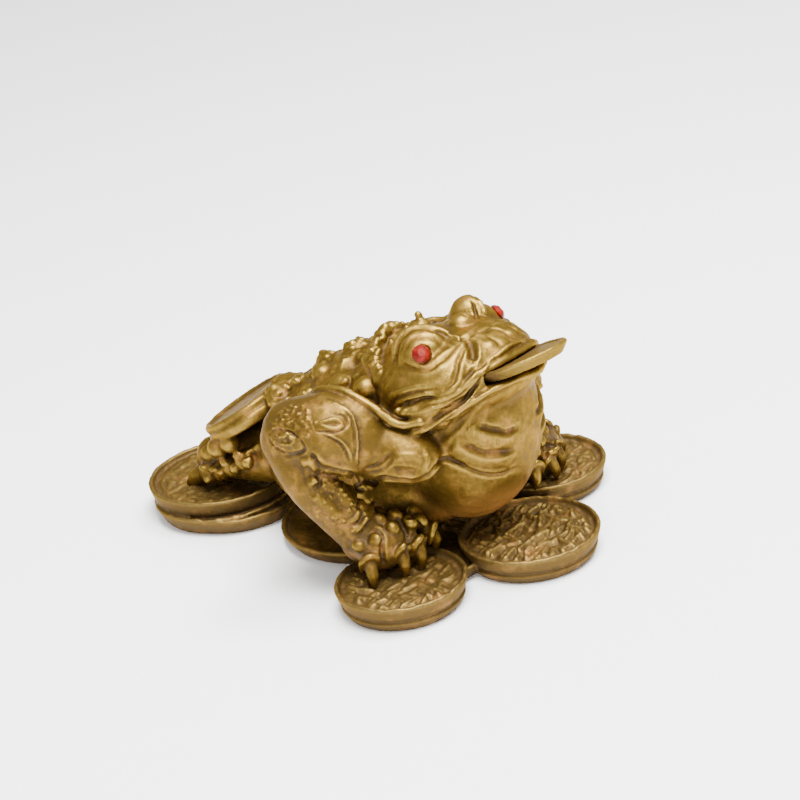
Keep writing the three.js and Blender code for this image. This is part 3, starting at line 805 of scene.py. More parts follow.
@dataclass
class ToadFigure:
    """The toad itself, from its lips to its hind toes. A paired form is given for the right side."""

    soft_voxel: float = 0.6
    fine_voxel: float = 0.26
    quick_voxel: float = 0.36
    triangles: int = 196000
    trunk: tuple[Ball, ...] = (
        Ball((0, -1, 24), (19, 26, 16.5), 35, fine=5), Ball((0, -8, 14.5), (18, 23, 11), fine=5),
        Ball((0, -15, 38), (15, 11, 9), 20), Ball((0, -29.5, 27.5), (15.8, 14.6, 20), -9, fine=5),
    )
    skull: tuple[Ball, ...] = (
        Ball((0, -27.5, 40.5), (18.3, 16.8, 10.4), 14, fine=5), Ball((0, -35, 44.6), (11, 8, 5.2), 16),
        Ball((0, -32, 36.5), (15.5, 15, 5.6), 27),
    )
    shoulder: tuple[Ball, ...] = (
        Ball((-19.5, -23.5, 31), (7, 11, 6.6), -16), Ball((-21.5, -21.5, 30), (5.6, 8.5, 5.6), -10),
        Ball((-26, -17, 34), (6.5, 7, 6.8)), Ball((-18.5, -8, 33.4), (8, 11, 7), 15),
    )
    eye_mound: Ball = Ball((-9.6, -26.6, 47.6), (4.8, 5.4, 4.4), -8)
    hind_leg: Limb = Limb(
        ((-1, 12, 20), (-3, 24, 15.5), (-4, 33, 14), (-5, 39, 11)), (9.2, 7.2, 6.2, 4.8), sides=32
    )
    heel: Ball = Ball((-6, 38, 14), (4.2, 4.2, 4.2))
    upper_arm: Limb = Limb(
        ((-23, -17, 35.5), (-27, -13, 36.6), (-29, -5.6, 36.8)), (7.7, 8.6, 7.0), sides=32
    )
    forearm: Limb = Limb(
        ((-30, -4.4, 35.6), (-31.2, -9.2, 27), (-28.7, -13.8, 19.7), (-26.3, -17.2, 14)),
        (5.7, 5.0, 5.1, 5.2), sides=24,
    )
    hand: tuple[Ball, ...] = (
        Ball((-24.5, -17.5, 11.5), (6.3, 6.1, 5.3)), Ball((-24.2, -21.3, 11.2), (7.9, 5.9, 5.0), -15),
    )
    fingers: tuple[tuple[Point, ...], ...] = (
        ((-26, -16, 14), (-28.5, -20.5, 13.6), (-31.3, -22.2, 10.8), (-33, -23.5, 5)),
        ((-24.5, -17, 14.6), (-24.2, -23.6, 14.2), (-25.9, -26, 10.8), (-26.8, -27, 5)),
        ((-22.5, -17.5, 14.4), (-21.2, -24.6, 13.4), (-21.6, -27, 10.6), (-22.7, -28.2, 5)),
        ((-21, -17, 13.6), (-17, -24.6, 13), (-16.4, -26.8, 10.8), (-15.6, -27.2, 6)),
    )
    finger_radii: tuple[float, ...] = (1.8, 1.9, 1.3, 1.6)
    joint_half: Point = (2.0, 2.0, 1.8)
    nail_half: Point = (2.0, 1.9, 1.8)
    claw_radii: tuple[float, ...] = (1.5, 1.25, 0.35)
    hood_arch: tuple[Point, ...] = (
        (2.0, 0.2, -1.9), (1.85, 1.0, 0.2), (0.0, 1.5, 1.5), (-1.85, 1.0, 0.2), (-2.0, 0.2, -1.9),
    )
    hood_radii: tuple[float, ...] = (0.45, 0.75, 0.85, 0.75, 0.45)
    knuckles: tuple[Point, ...] = (
        (-29, -23, 14.5), (-25, -24.5, 15.5), (-21, -26, 15), (-21, -22.5, 16), (-18, -26.5, 14),
        (-28.5, -20, 16), (-20.5, -18, 15.5), (-16.5, -24, 15), (-31, -20, 13.5), (-24.5, -21, 16.5),
    )
    knuckle_half: Point = (1.4, 1.75, 1.4)
    hind_knobs: tuple[tuple[float, float, float, float], ...] = (
        (-9, 37, 11, 2.9), (-9.8, 33.5, 12.2, 2.4), (-10.2, 29.5, 14.2, 2.5), (-10.6, 25.4, 16.4, 2.3),
        (-11.4, 31.8, 18.8, 2.4), (-8.2, 37, 15.2, 2.4), (-11.9, 27.6, 20.9, 2.3),
    )
    hind_toes: tuple[float, ...] = (-8.5, -5.5, -2.2, 1)
    leg_crags: tuple[Point, ...] = (
        (-11.5, 37.5, 12.5), (-12, 34, 13.5), (-12.5, 30, 16), (-12.5, 26, 18), (-11, 24, 18.5),
        (-12, 32, 13), (-12.5, 27.5, 15), (-12.5, 23.5, 17), (-12, 36.5, 10.5), (-9.5, 22.5, 19.5),
    )
    crown: tuple[Ball, ...] = (
        Ball((0, -19.5, 48.3), (2.9, 2.9, 2.9)), Ball((0.2, -19.2, 51.2), (0.95, 0.95, 1.5), fine=3),
    )
    eyes_and_cheeks: tuple[Ball, ...] = (
        Ball((-9.3, -26.6, 48.1), (4.9, 5.8, 4.6), -8), Ball((-11.6, -27.2, 46.6), (4, 4.8, 4.2)),
        Ball((-14.3, -31.5, 37), (4.3, 4.4, 3.8)), Ball((-3.6, -38.2, 47.9), (2.2, 2.6, 1.9), 12),
    )
    upper_lip: Limb = Limb(
        ((-19.2, -26.5, 37.8), (-17.4, -32, 38.2), (-15.3, -35.6, 41.1), (-11.3, -39.6, 43.9),
         (-6.5, -41.8, 45.3), (0, -42.4, 45.7)),
        (1.1, 1.6, 1.5, 1.3, 1.2, 1.2),
    )
    lower_lip: Limb = Limb(
        ((-19, -29.5, 33.8), (-16.5, -34.5, 36.8), (-12.5, -39.5, 39.5), (-7, -44.6, 42.1),
         (0, -47.2, 42.7)),
        (1.1, 1.2, 1.1, 1.0, 1.0),
    )
    forehead: tuple[Ball, ...] = (
        Ball((0.2, -30, 50.9), (2.7, 2.7, 2.5)), Ball((0, -36, 47.6), (5, 4, 2.8), 14),
    )
    brow_fold: Limb = Limb(
        ((-13, -21.5, 46), (-12.5, -22, 49.5), (-11, -23, 51.5), (-9.5, -24.5, 52.5), (-8, -26.5, 52.5),
         (-7, -29, 52), (-6.5, -31, 51), (-6.5, -33, 50.5), (-7, -35, 50)),
        (0.4, 0.65, 0.7, 0.7, 0.7, 0.7, 0.65, 0.6, 0.4), sides=12,
    )
    left_brow: Ball = Ball((9.0, -25.8, 48.8), (4.2, 4.4, 5.3))
    warts: tuple[Point, ...] = (
        (0, -11, 2.6), (0, -2.5, 3.2), (0, 6, 2.6), (-8, -13, 2.6), (-11, -6, 2.6),
        (-7, 2, 2.3), (-12.5, 2.5, 2.2), (-5.5, 10, 2.1),
    )
    nape: tuple[Ball, ...] = (
        Ball((-0.5, -13, 44.5), (5, 4.8, 3.4)), Ball((-2.0, -12.2, 48.2), (1.7, 1.7, 1.8), fine=3),
        Ball((0.9, -11.6, 47.5), (1.9, 1.9, 1.9), fine=3),
    )
    nape_beads: tuple[Point, ...] = (
        (-1.5, -12, 49), (-4.5, -12.6, 47.9), (-7.5, -13.8, 46.6), (-10.5, -16.2, 45.6),
        (-13.6, -18.8, 44.4),
    )
    nape_end: Ball = Ball((-13.8, -14.4, 40.6), (2.9, 2.9, 2.9), fine=3)
    cord_radius: float = 0.95
    cord_free: tuple[Point, ...] = ((-19.6, -31.6, 38.2), (-21.5, -27, 38))
    cord_laid: tuple[tuple[float, float], ...] = (
        (-22.5, -21.5), (-22.8, -15.5), (-22.8, -9.5), (-20.2, -2.5), (-15, 5), (-9.5, 13), (-5, 18),
    )
    cord_knot: tuple[Ball, ...] = (
        Ball((-3.5, 15.5, 31.0), (6.5, 4.2, 3.6), -35), Ball((-5.6, 17.8, 30.6), (2.2, 2.2, 2.2), fine=3),
    )
    rump_coin: tuple[tuple[float, float], ...] = (
        (0, 0), (9.9, 0), (10.5, 0.4), (10.9, 1.6), (10.8, 2.3), (10.2, 2.8), (9.6, 2.7), (9.2, 2.1),
        (0, 2.1),
    )
    rump_places: tuple[tuple[Point, float], ...] = (((-3, 27.6, 24.9), 0.0), ((-3.4, 26.1, 23.2), 3.4))
    rump_lean: float = -6.0
    rump_slope: float = -28.5
    head_shares: tuple[tuple[tuple[Stroke, ...], float, float, float], ...] = (
        (LIDS, 1.3, 0.45, 0.3), (NOSE, 1.1, 0.65, 0.25), (MOUTH, 1.1, 0.58, 0.58), (CHEEK, 1.45, 0.5, 0.5),
    )
    body_shares: tuple[tuple[tuple[Stroke, ...], float], ...] = (
        (UPPER_ARM, 0.75), (CHEST, 0.65), (FOREARM, 1.0), (TOE_GAPS, 1.0),
    )
    comb_line: tuple[Spot, ...] = ((470, 428), (479, 435), (492, 440), (504, 440), (513, 438))
    comb_spacing: float = 0.7
    tick_width: float = 0.32
    tick_depth: float = 0.12
    rough_patches: tuple[tuple[Point, Point, int, float, float], ...] = (
        ((-34, -10, 41.5), (5, 5.5, 3.4), 130, 0.42, 0.17),
        ((-35.5, -8, 37.2), (2, 3.2, 1.6), 26, 0.35, 0.15),
        ((-31.5, -15.5, 25), (5.5, 5, 7), 150, 0.42, 0.15),
        ((-28.5, -18, 16), (5.5, 5, 4.5), 14, 0.8, 0.2),
        ((-6, -4, 42), (14, 14, 8), 90, 0.8, 0.32),
        ((-6, 10, 34), (14, 11, 8), 80, 0.9, 0.32),
    )
    hollows: tuple[tuple[Point, float, float], ...] = (
        ((-6.5, -6, 42.5), 2.8, 2), ((-12, -12, 42), 2.2, 0.9), ((-4, 2.5, 40), 2.6, 0.9),
    )
    stone_seat: tuple[float, float] = (2.15, -0.25)
    slot_gap: float = 0.3
    slot_roof_gap: float = 0.05

    def __post_init__(self) -> None:
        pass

    def soft_forms(self) -> Skin:
        """Fuse and soften the large masses.

        Returns:
            Their skin.
        """
        clay = Clay()
        roll = roll_turn()
        clay.balls(self.trunk)
        clay.balls(self.skull, roll)
        for turn in (LEVEL, MIRROR):
            clay.balls(self.shoulder, turn)
            clay.ball(self.eye_mound, roll @ turn)
        clay.limb(self.hind_leg)
        clay.ball(self.heel)
        self.front_leg(clay, LEVEL, 0.0, 0.0)
        self.front_leg(clay, MIRROR, LEFT_STEP, LEFT_DROP)
        skin = clay.fuse(self.soft_voxel)
        skin.relax(9, 0.5)
        return skin

    def reach(
        self, points: tuple[Point, ...], step: float, drop: float, foot: bool | None
    ) -> tuple[Point, ...]:
        """Shift a front leg's points by its foot's step and its elbow's drop.

        Args:
            points: the right leg's points.
            step: how far the foot stands ahead.
            drop: how far the elbow sits lower.
            foot: True at the foot, False at the upper arm, None from one to the other.

        Returns:
            The shifted points.
        """
        moved = []
        for i, (x, y, z) in enumerate(points):
            share = float(foot) if foot is not None else i / (len(points) - 1)
            moved.append((x, y - step * (0.5 + 0.5 * share), z - drop * (1 - share)))
        return tuple(moved)

    def front_leg(self, clay: Clay, turn: Matrix, step: float, drop: float) -> None:
        """Add the masses of a front leg.

        Args:
            clay: what they are added to.
            turn: LEVEL for the right leg, MIRROR for the left one.
            step: how far the foot stands ahead.
            drop: how far the elbow sits lower.
        """
        for limb, foot in ((self.upper_arm, False), (self.forearm, None)):
            clay.limb(replace(limb, points=self.reach(limb.points, step, drop, foot)), turn)
        for ball in self.hand:
            middle = self.reach((ball.centre,), step, drop, True)[0]
            clay.ball(replace(ball, centre=middle), turn)

    def toes(self, clay: Clay, turn: Matrix, step: float) -> None:
        """Add a front foot's four toes with their claws.

        Args:
            clay: what they are added to.
            turn: LEVEL for the right foot, MIRROR for the left one.
            step: how far the foot stands ahead.
        """
        for finger in self.fingers:
            root, knuckle, nail, tip = self.reach(finger, step, 0.0, True)
            neck = tuple((a + b) / 2 for a, b in zip(knuckle, nail))
            clay.limb(Limb((root, knuckle, neck, nail), self.finger_radii), turn)
            clay.ball(Ball(knuckle, self.joint_half, fine=3), turn)
            clay.ball(Ball(nail, self.nail_half, fine=3), turn)
            ahead = Vector((tip[0] - root[0], tip[1] - root[1], 0)).normalized()
            side = Vector((-ahead.y, ahead.x, 0))
            bend = Vector(nail) * 0.5 + Vector(tip) * 0.5 + 0.9 * ahead
            claw = (tuple(Vector(nail) + 0.5 * ahead), tuple(bend), tip)
            clay.limb(Limb(claw, self.claw_radii), turn)
            hood = tuple(
                tuple(Vector(nail) + aside * side + out * ahead + Vector((0, 0, up)))
                for aside, out, up in self.hood_arch
            )
            clay.limb(Limb(hood, self.hood_radii, sides=12), turn)
        for knuckle in self.reach(self.knuckles, step, 0.0, True):
            clay.ball(Ball(knuckle, self.knuckle_half, -38, fine=3), turn)

    def hind_details(self, clay: Clay) -> None:
        """Add the hind leg's knobs and toes.

        Args:
            clay: what they are added to.
        """
        for x, y, z, radius in self.hind_knobs:
            for side in (x, -8 - x):
                clay.ball(Ball((side, y, z), (radius, radius, radius), fine=3))
        rng = np.random.default_rng(12)
        for x, y, z in self.leg_crags:
            for side in (x + 0.7, -8.7 - x):
                half = tuple(rng.uniform(1.0, 1.8, 3))
                clay.ball(Ball((side, y, z - 0.2), half, rng.uniform(-40, 40), fine=1))
        for x in self.hind_toes:
            toe = ((x * 0.6 - 2, 36, 10.6), (x, 41, 9.4), (x * 1.1, 42.6, 8))
            claw = ((x * 1.1, 42.4, 8.2), (x * 1.13, 43.6, 7.3), (x * 1.15, 44.4, 6.3))
            clay.limb(Limb(toe, (2.4, 2.1, 1.6)))
            clay.limb(Limb(claw, (1.4, 1.0, 0.35)))

    def face(self, clay: Clay) -> None:
        """Add the eyes, brows, lips, nose and the knob on the crown.

        Args:
            clay: what they are added to.
        """
        roll = roll_turn()
        clay.balls(self.crown, roll)
        for turn in (roll, roll @ MIRROR):
            clay.balls(self.eyes_and_cheeks, turn)
            clay.limb(self.upper_lip, turn)
        clay.balls(self.forehead, roll)
        clay.limb(self.brow_fold, roll)
        clay.ball(self.left_brow, roll)
        right, radii = self.lower_lip.points, self.lower_lip.radii
        left = tuple((-x, y, z) for x, y, z in right[-2::-1])
        clay.limb(Limb(right + left, radii + radii[-2::-1]), roll)

    def laid(self, skin: Skin, x: float, y: float, rise: float) -> Point:
        """Find the top of the back.

        Args:
            skin: the softened masses.
            x: the place across.
            y: the place along.
            rise: how far above the back.

        Returns:
            The point.
        """
        near = ((skin.place[:, :2] - (x, y)) ** 2).sum(1) < 0.5
        return x, y, float(skin.place[near, 2].max()) + rise

    def back_details(self, clay: Clay, skin: Skin) -> None:
        """Add the warts, the moulded cord and the two coins on the rump.

        Args:
            clay: what they are added to.
            skin: the softened masses, on which they lie.
        """
        for x, y, radius in self.warts:
            for side in (x, -x):
                middle = self.laid(skin, side, y, -0.5 * radius)
                clay.ball(Ball(middle, (radius, 1.1 * radius, 0.95 * radius), fine=3))
        clay.balls(self.nape)
        for turn in (LEVEL, Matrix.Translation((0, 0, -1.3)) @ MIRROR):
            under = tuple((x, y + 0.4, z - 1.6) for x, y, z in self.nape_beads)
            clay.limb(Limb(under, (1.8,) * len(under)), turn)
            row, _ = along_curve(np.array(self.nape_beads), 1.7)
            sway = np.random.default_rng(3).uniform(-1, 1, (len(row), 4))
            for bead, (shift, lift, rise, size) in zip(row, sway):
                place = (bead[0] + 0.6 * shift, bead[1] + 0.9 * lift, bead[2] + 0.3 * rise)
                half = (1.2 + 0.4 * size, 1.0 - 0.3 * shift, 1.15 + 0.35 * rise)
                clay.ball(Ball(place, half, fine=1), turn)
            clay.ball(self.nape_end, turn)
        for turn in (1, -1):
            left = turn < 0
            free = tuple((turn * (x + 0.8 * left), y, z - 2.6 * left) for x, y, z in self.cord_free)
            route = free + tuple(self.laid(skin, turn * x, y, 0.35) for x, y in self.cord_laid)
            clay.limb(Limb(route, (self.cord_radius,) * len(route), sides=12))
        clay.balls(self.cord_knot)
        slope = Matrix.Rotation(math.radians(self.rump_slope), 4, "X")
        for place, lean in self.rump_places:
            tilt = Matrix.Rotation(math.radians(lean + self.rump_lean), 4, "Y") @ slope
            clay.lathe(self.rump_coin, Matrix.Translation(place) @ tilt)

    def build(self) -> Skin:
        """Model the whole toad.

        Returns:
            Its skin.
        """
        clay = Clay()
        soft = self.soft_forms()
        clay.add_skin(soft)
        self.face(clay)
        self.back_details(clay, soft)
        self.toes(clay, LEVEL, 0.0)
        self.toes(clay, MIRROR, LEFT_STEP)
        self.hind_details(clay)
        skin = clay.fuse(self.fine_voxel)
        skin.relax(3, 0.5)
        self.carve_all(skin)
        for side in (LEVEL, MIRROR):
            skin.press_seat(EyeStones().frame(side), *self.stone_seat)
        coin = MouthCoin()
        half, gap = coin.thickness / 2, self.slot_gap
        skin.open_slot(coin.frame(), coin.radius + gap, -half - gap, half + self.slot_roof_gap)
        return skin

    def left_arm(self, point: Point) -> Point:
        """Carry a point of the right front leg over to the left one.

        Args:
            point: the right leg's point.

        Returns:
            The left leg's point.
        """
        x, y, z = point
        share = min(max((36 - z) / 22, 0), 1)
        return -x, y - LEFT_STEP * (0.5 + 0.5 * share), z - LEFT_DROP * (1 - share)

    def carve_all(self, skin: Skin) -> None:
        """Carve the folds, creases and skin texture.

        Args:
            skin: the fused skin, whose points are moved.
        """
        roll = roll_turn()
        across = roll @ MIRROR @ roll.inverted()
        sighting = Sighting(skin)
        out = skin.normals(3)
        for strokes, broad, near, far in self.head_shares:
            for stroke in strokes:
                points = sighting.lay(stroke.trace)
                mirrored = [tuple(across @ Vector(point)) for point in reversed(points)]
                skin.carve(stroke.profile, broad * stroke.width, near * stroke.depth, points, out)
                skin.carve(stroke.profile, broad * stroke.width, far * stroke.depth, mirrored, out)
        for stroke in FAR_BROW:
            skin.carve(stroke.profile, stroke.width, stroke.depth, sighting.lay(stroke.trace), out)
        for stroke in THROAT:
            points = sighting.lay(stroke.trace)
            for line in (points, [(-x, y, z) for x, y, z in reversed(points)]):
                skin.carve(stroke.profile, stroke.width, stroke.depth, line, out)
        comb, _ = along_curve(np.array(sighting.lay(self.comb_line)), self.comb_spacing)
        for side in (1, -1):
            lengths = 0.5 + 0.5 * np.random.default_rng(4).random(len(comb))
            for (x, y, z), long in zip(comb * (side, 1, 1), lengths):
                tick = [(x + 0.15, y, z + long), (x, y, z), (x - 0.15, y, z - long)]
                skin.carve(Profile.RIDGE, self.tick_width, self.tick_depth * long, tick, out)
        for strokes, share in self.body_shares:
            for stroke in strokes:
                points = sighting.lay(stroke.trace)
                for line in (points, [self.left_arm(point) for point in reversed(points)]):
                    skin.carve(stroke.profile, stroke.width, share * stroke.depth, line, out)
        out = skin.normals(2)
        for i, (centre, half, count, size, height) in enumerate(self.rough_patches):
            skin.stipple(centre, half, count, size, height, out, i)
            x, y, z = self.left_arm(centre) if centre[0] < -20 else (-centre[0], centre[1], centre[2])
            skin.stipple((x, y, z), half, count, size, height, out, i + 50)
        for side in (1, -1):
            for (x, y, z), radius, depth in self.hollows:
                skin.swell((side * x, y, z), radius, -depth, out)
        push = 0.10 * grain(skin.place, 1.7, 1) + 0.05 * grain(skin.place, 0.75, 2)
        skin.place += out * push[:, None]


@dataclass
class CoinBed:
    """The coins that the toad crouches on."""

    foot_radius: float = 14.0
    front_radius: float = 15.2
    rear_radius: float = 16.7
    belly_radius: float = 19.5
    hidden_radius: float = 14.0
    stack_height: float = 6.0
    rear_height: float = 8.0
    single_height: float = 3.6
    rim_width: float = 1.15
    rim_rise: float = 1.2
    flare: float = 1.7
    groove: float = 0.75
    meeting: float = 0.42
    right_foot: tuple[float, float] = (-28.2, -27)
    left_foot: tuple[float, float] = (28.2, -27)
    front: tuple[float, float] = (-0.7, -41.2)
    rear: tuple[float, float] = (-3.2, 39.7)
    rear_lower: tuple[float, float] = (-4.5, 38.4)
    rear_hidden: tuple[float, float] = (-3.2, 36)
    belly: tuple[float, float] = (-2, 0)
    right_hidden: tuple[float, float] = (-12, -22.5)
    left_hidden: tuple[float, float] = (12, -22.5)
    pitch: float = 2.9
    stroke_turns: tuple[float, ...] = (0.0, 0.12, -0.15, 0.05, 1.45, 0.7)
    triangles: int = 190000
    voxel: float = 0.3

    def profile(self, radius: float, height: float, stacked: float) -> tuple[tuple[float, float], ...]:
        """Section of one coin, or of a stack of two.

        Args:
            radius: the rim's radius.
            height: the height of the whole.
            stacked: the share of the height at which two coins meet, or 0 for one coin.

        Returns:
            Radius and height of each point, from the axis and back to it.
        """
        inner = radius - self.rim_width
        points = [(0.0, 0.0), (radius - self.flare - 0.4, 0.0), (radius - self.flare, 0.5)]
        if stacked:
            line = height * stacked
            middle = radius - self.flare * 0.55
            points += [
                (middle + 0.1, line - 0.55), (middle - self.groove, line - 0.1),
                (middle - self.groove, line + 0.1), (middle + 0.1, line + 0.6),
            ]
        points += [
            (radius - 0.15, height - 0.9), (radius, height - 0.35), (radius - 0.3, height),
            (inner + 0.3, height), (inner, height - 0.35), (inner - 0.25, height - self.rim_rise),
            (0.0, height - self.rim_rise),
        ]
        return tuple(points)

    def build(self) -> Skin:
        """Model the coins.

        Returns:
            Their skin.
        """
        clay = Clay()
        pair = self.rear_height / 2
        for radius, height, middle, stacked in (
            (self.foot_radius, self.stack_height, self.right_foot, self.meeting),
            (self.foot_radius, self.stack_height, self.left_foot, self.meeting),
            (self.front_radius, self.stack_height, self.front, self.meeting),
            (self.rear_radius, self.rear_height, self.rear, 0.5),
            (self.rear_radius - 0.5, self.rear_height * 0.56, self.rear_lower, 0.0),
            (self.rear_radius, pair, self.rear_hidden, 0.0),
            (self.belly_radius, self.single_height, self.belly, 0.0),
            (self.hidden_radius, self.single_height, self.right_hidden, 0.0),
            (self.hidden_radius, self.single_height, self.left_hidden, 0.0),
        ):
            clay.lathe(self.profile(radius, height, stacked), Matrix.Translation((*middle, 0)))
        skin = clay.fuse(self.voxel * (1))
        skin.relax(2, 0.4)
        for middle, radius, height, rise, seed in (
            (self.front, self.front_radius, self.stack_height, 1.05, 5),
            (self.right_foot, self.foot_radius, self.stack_height, 0.75, 6),
            (self.left_foot, self.foot_radius, self.stack_height, 0.75, 7),
            (self.rear, self.rear_radius, self.rear_height, 0.45, 8),
        ):
            self.inscribe(skin, middle, radius, height, rise, seed)
        out = skin.normals(2)
        face = np.clip(out[:, 2] * 2 - 1, 0, 1)
        push = (0.05 + 0.16 * face) * grain(skin.place, 1.5, 21)
        push = push + (0.03 + 0.05 * face) * grain(skin.place, 0.7, 22)
        push *= np.clip(skin.place[:, 2] / 0.6, 0, 1)
        skin.place += out * push[:, None]
        return skin

    def inscribe(
        self, skin: Skin, middle: tuple[float, float], radius: float, height: float, rise: float, seed: int
    ) -> None:
        """Raise worn shallow strokes in columns on a coin's face.

        Args:
            skin: the coins' skin.
            middle: the coin's middle.
            radius: its radius.
            height: the height of its rim.
            rise: how far the strokes stand up.
            seed: which irregularity.
        """
        rng = np.random.default_rng(seed)
        reach = radius - self.rim_width - 0.9
        away = skin.place[:, :2] - middle
        upper = skin.place[:, 2] > height - self.rim_rise - 0.5
        found = np.nonzero(((away**2).sum(1) < reach**2) & upper)[0]
        here = away[found]
        raised = np.zeros(len(found))
        columns = int(2 * reach / self.pitch)
        for i in range(columns + 1):
            across = (i - columns / 2) * self.pitch
            room = math.sqrt(max(reach**2 - across**2, 0))
            for along in np.arange(-room, room, self.pitch * 0.7):
                turn = rng.choice(self.stroke_turns) + rng.uniform(-0.2, 0.2)
                centre = np.array((along, across)) + rng.uniform(-1.2, 1.2, 2)
                way = np.array((math.cos(turn), math.sin(turn)))
                run = (here - centre) @ way
                side = (here - centre) @ np.array((-way[1], way[0]))
                half, width = rng.uniform(1.0, 3.2), rng.uniform(0.55, 1.15)
                bent = side - rng.uniform(-0.08, 0.08) * run**2
                past = np.clip(np.abs(run) - half, 0, None)
                slope = np.clip(1.25 - np.hypot(bent, past) / width, 0, 1) * rng.uniform(0.55, 1.1)
                raised = np.maximum(raised, slope)
        edge = np.clip((reach - np.hypot(*here.T)) / 1.2, 0, 1)
        skin.place[found, 2] += rise * raised * edge


@dataclass
class MouthCoin:
    """The loose coin between the lips."""

    radius: float = MOUTH_COIN_RADIUS
    thickness: float = MOUTH_COIN_THICKNESS
    pitch: float = 22.6
    reach: float = 53.9
    height: float = 48.6
    taper: float = 1.35
    rim: float = 1.2
    dish: float = 0.3
    triangles: int = 60000
    voxel: float = 0.16

    def frame(self) -> Matrix:
        """The coin's frame on the toad's grid.

        Returns:
            The frame, its axis along Z and the way into the mouth along Y.
        """
        slope = math.radians(self.pitch)
        inward = Vector((0, math.cos(slope), -math.sin(slope)))
        middle = Vector((0, -self.reach, self.height)) + inward * self.radius
        return roll_turn() @ Matrix.Translation(middle) @ Matrix.Rotation(-slope, 4, "X")

    def build(self) -> Skin:
        """Model the coin.

        Returns:
            Its skin.
        """
        half, low = self.thickness / 2, self.radius - self.taper
        clay = Clay()
        profile = (
            (0, self.dish - half), (low - self.rim - 0.3, self.dish - half), (low - self.rim, -half),
            (low - 0.4, -half), (low, 0.35 - half), (self.radius - 0.1, half - 0.75),
            (self.radius, half - 0.4), (self.radius - 0.35, half), (self.radius - self.rim, half),
            (self.radius - self.rim - 0.35, half - self.dish), (0, half - self.dish),
        )
        clay.lathe(profile, LEVEL, sides=128)
        skin = clay.fuse(self.voxel * (1))
        skin.relax(2, 0.4)
        out = skin.normals(2)
        skin.place += out * (0.04 * grain(skin.place, 1.1, 7) + 0.03 * grain(skin.place, 0.5, 8))[:, None]
        skin.turn(self.frame())
        # Painted shade: the coin is darkened where it goes in under the lips.
        skin.layers["stain_and_shade"] = 0.75 * np.clip((skin.place[:, 1] + 47.2) / 3.0, 0, 1)
        return skin


@dataclass
class EyeStones:
    """The red faceted stone in each eye."""

    eyeball: Point = (-11.6, -27.2, 46.6)
    facing: Point = (-0.6, -0.55, 0.58)
    standing: float = 4.0
    radius: float = 1.95
    dome: float = 1.5
    rings: tuple[tuple[float, float, int, float], ...] = (
        (0.9, 0.0, 16, 0.0), (1.0, 0.3, 16, 0.0), (0.74, 0.72, 8, 0.5), (0.42, 1.0, 8, 0.0),
    )

    def frame(self, side: Matrix) -> Matrix:
        """The stone's frame on the toad's grid.

        Args:
            side: LEVEL for the right eye, MIRROR for the left one.

        Returns:
            The frame, facing out along Z.
        """
        facing = (side.to_3x3() @ Vector(self.facing)).normalized()
        middle = side @ Vector(self.eyeball) + facing * self.standing
        turn = facing.to_track_quat("Z", "Y").to_matrix().to_4x4()
        return roll_turn() @ Matrix.Translation(middle) @ turn

    def build(self, side: Matrix, name: str) -> bpy.types.Mesh:
        """Cut one stone: a flat back, a girdle, two rows of facets and a table.

        Args:
            side: LEVEL for the right eye, MIRROR for the left one.
            name: the mesh's name.

        Returns:
            The mesh.
        """
        form = bmesh.new()
        for share, height, count, shift in self.rings:
            step = Matrix.Translation((0, 0, height * self.dome))
            step = step @ Matrix.Rotation(math.tau * shift / count, 4, "Z")
            bmesh.ops.create_circle(form, segments=count, radius=share * self.radius, matrix=step)
        bmesh.ops.delete(form, geom=list(form.edges), context="EDGES_FACES")
        hull = bmesh.ops.convex_hull(form, input=form.verts)
        bmesh.ops.delete(form, geom=hull["geom_interior"] + hull["geom_unused"], context="VERTS")
        bmesh.ops.dissolve_limit(form, angle_limit=0.01, verts=form.verts, edges=form.edges)
        bmesh.ops.transform(form, matrix=self.frame(side), verts=form.verts)
        bmesh.ops.translate(form, vec=(0, 0, SEAT), verts=form.verts)
        bmesh.ops.scale(form, vec=(MM, MM, MM), verts=form.verts)
        bmesh.ops.recalc_face_normals(form, faces=form.faces)
        mesh = bpy.data.meshes.new(name)
        form.to_mesh(mesh)
        form.free()
        return mesh


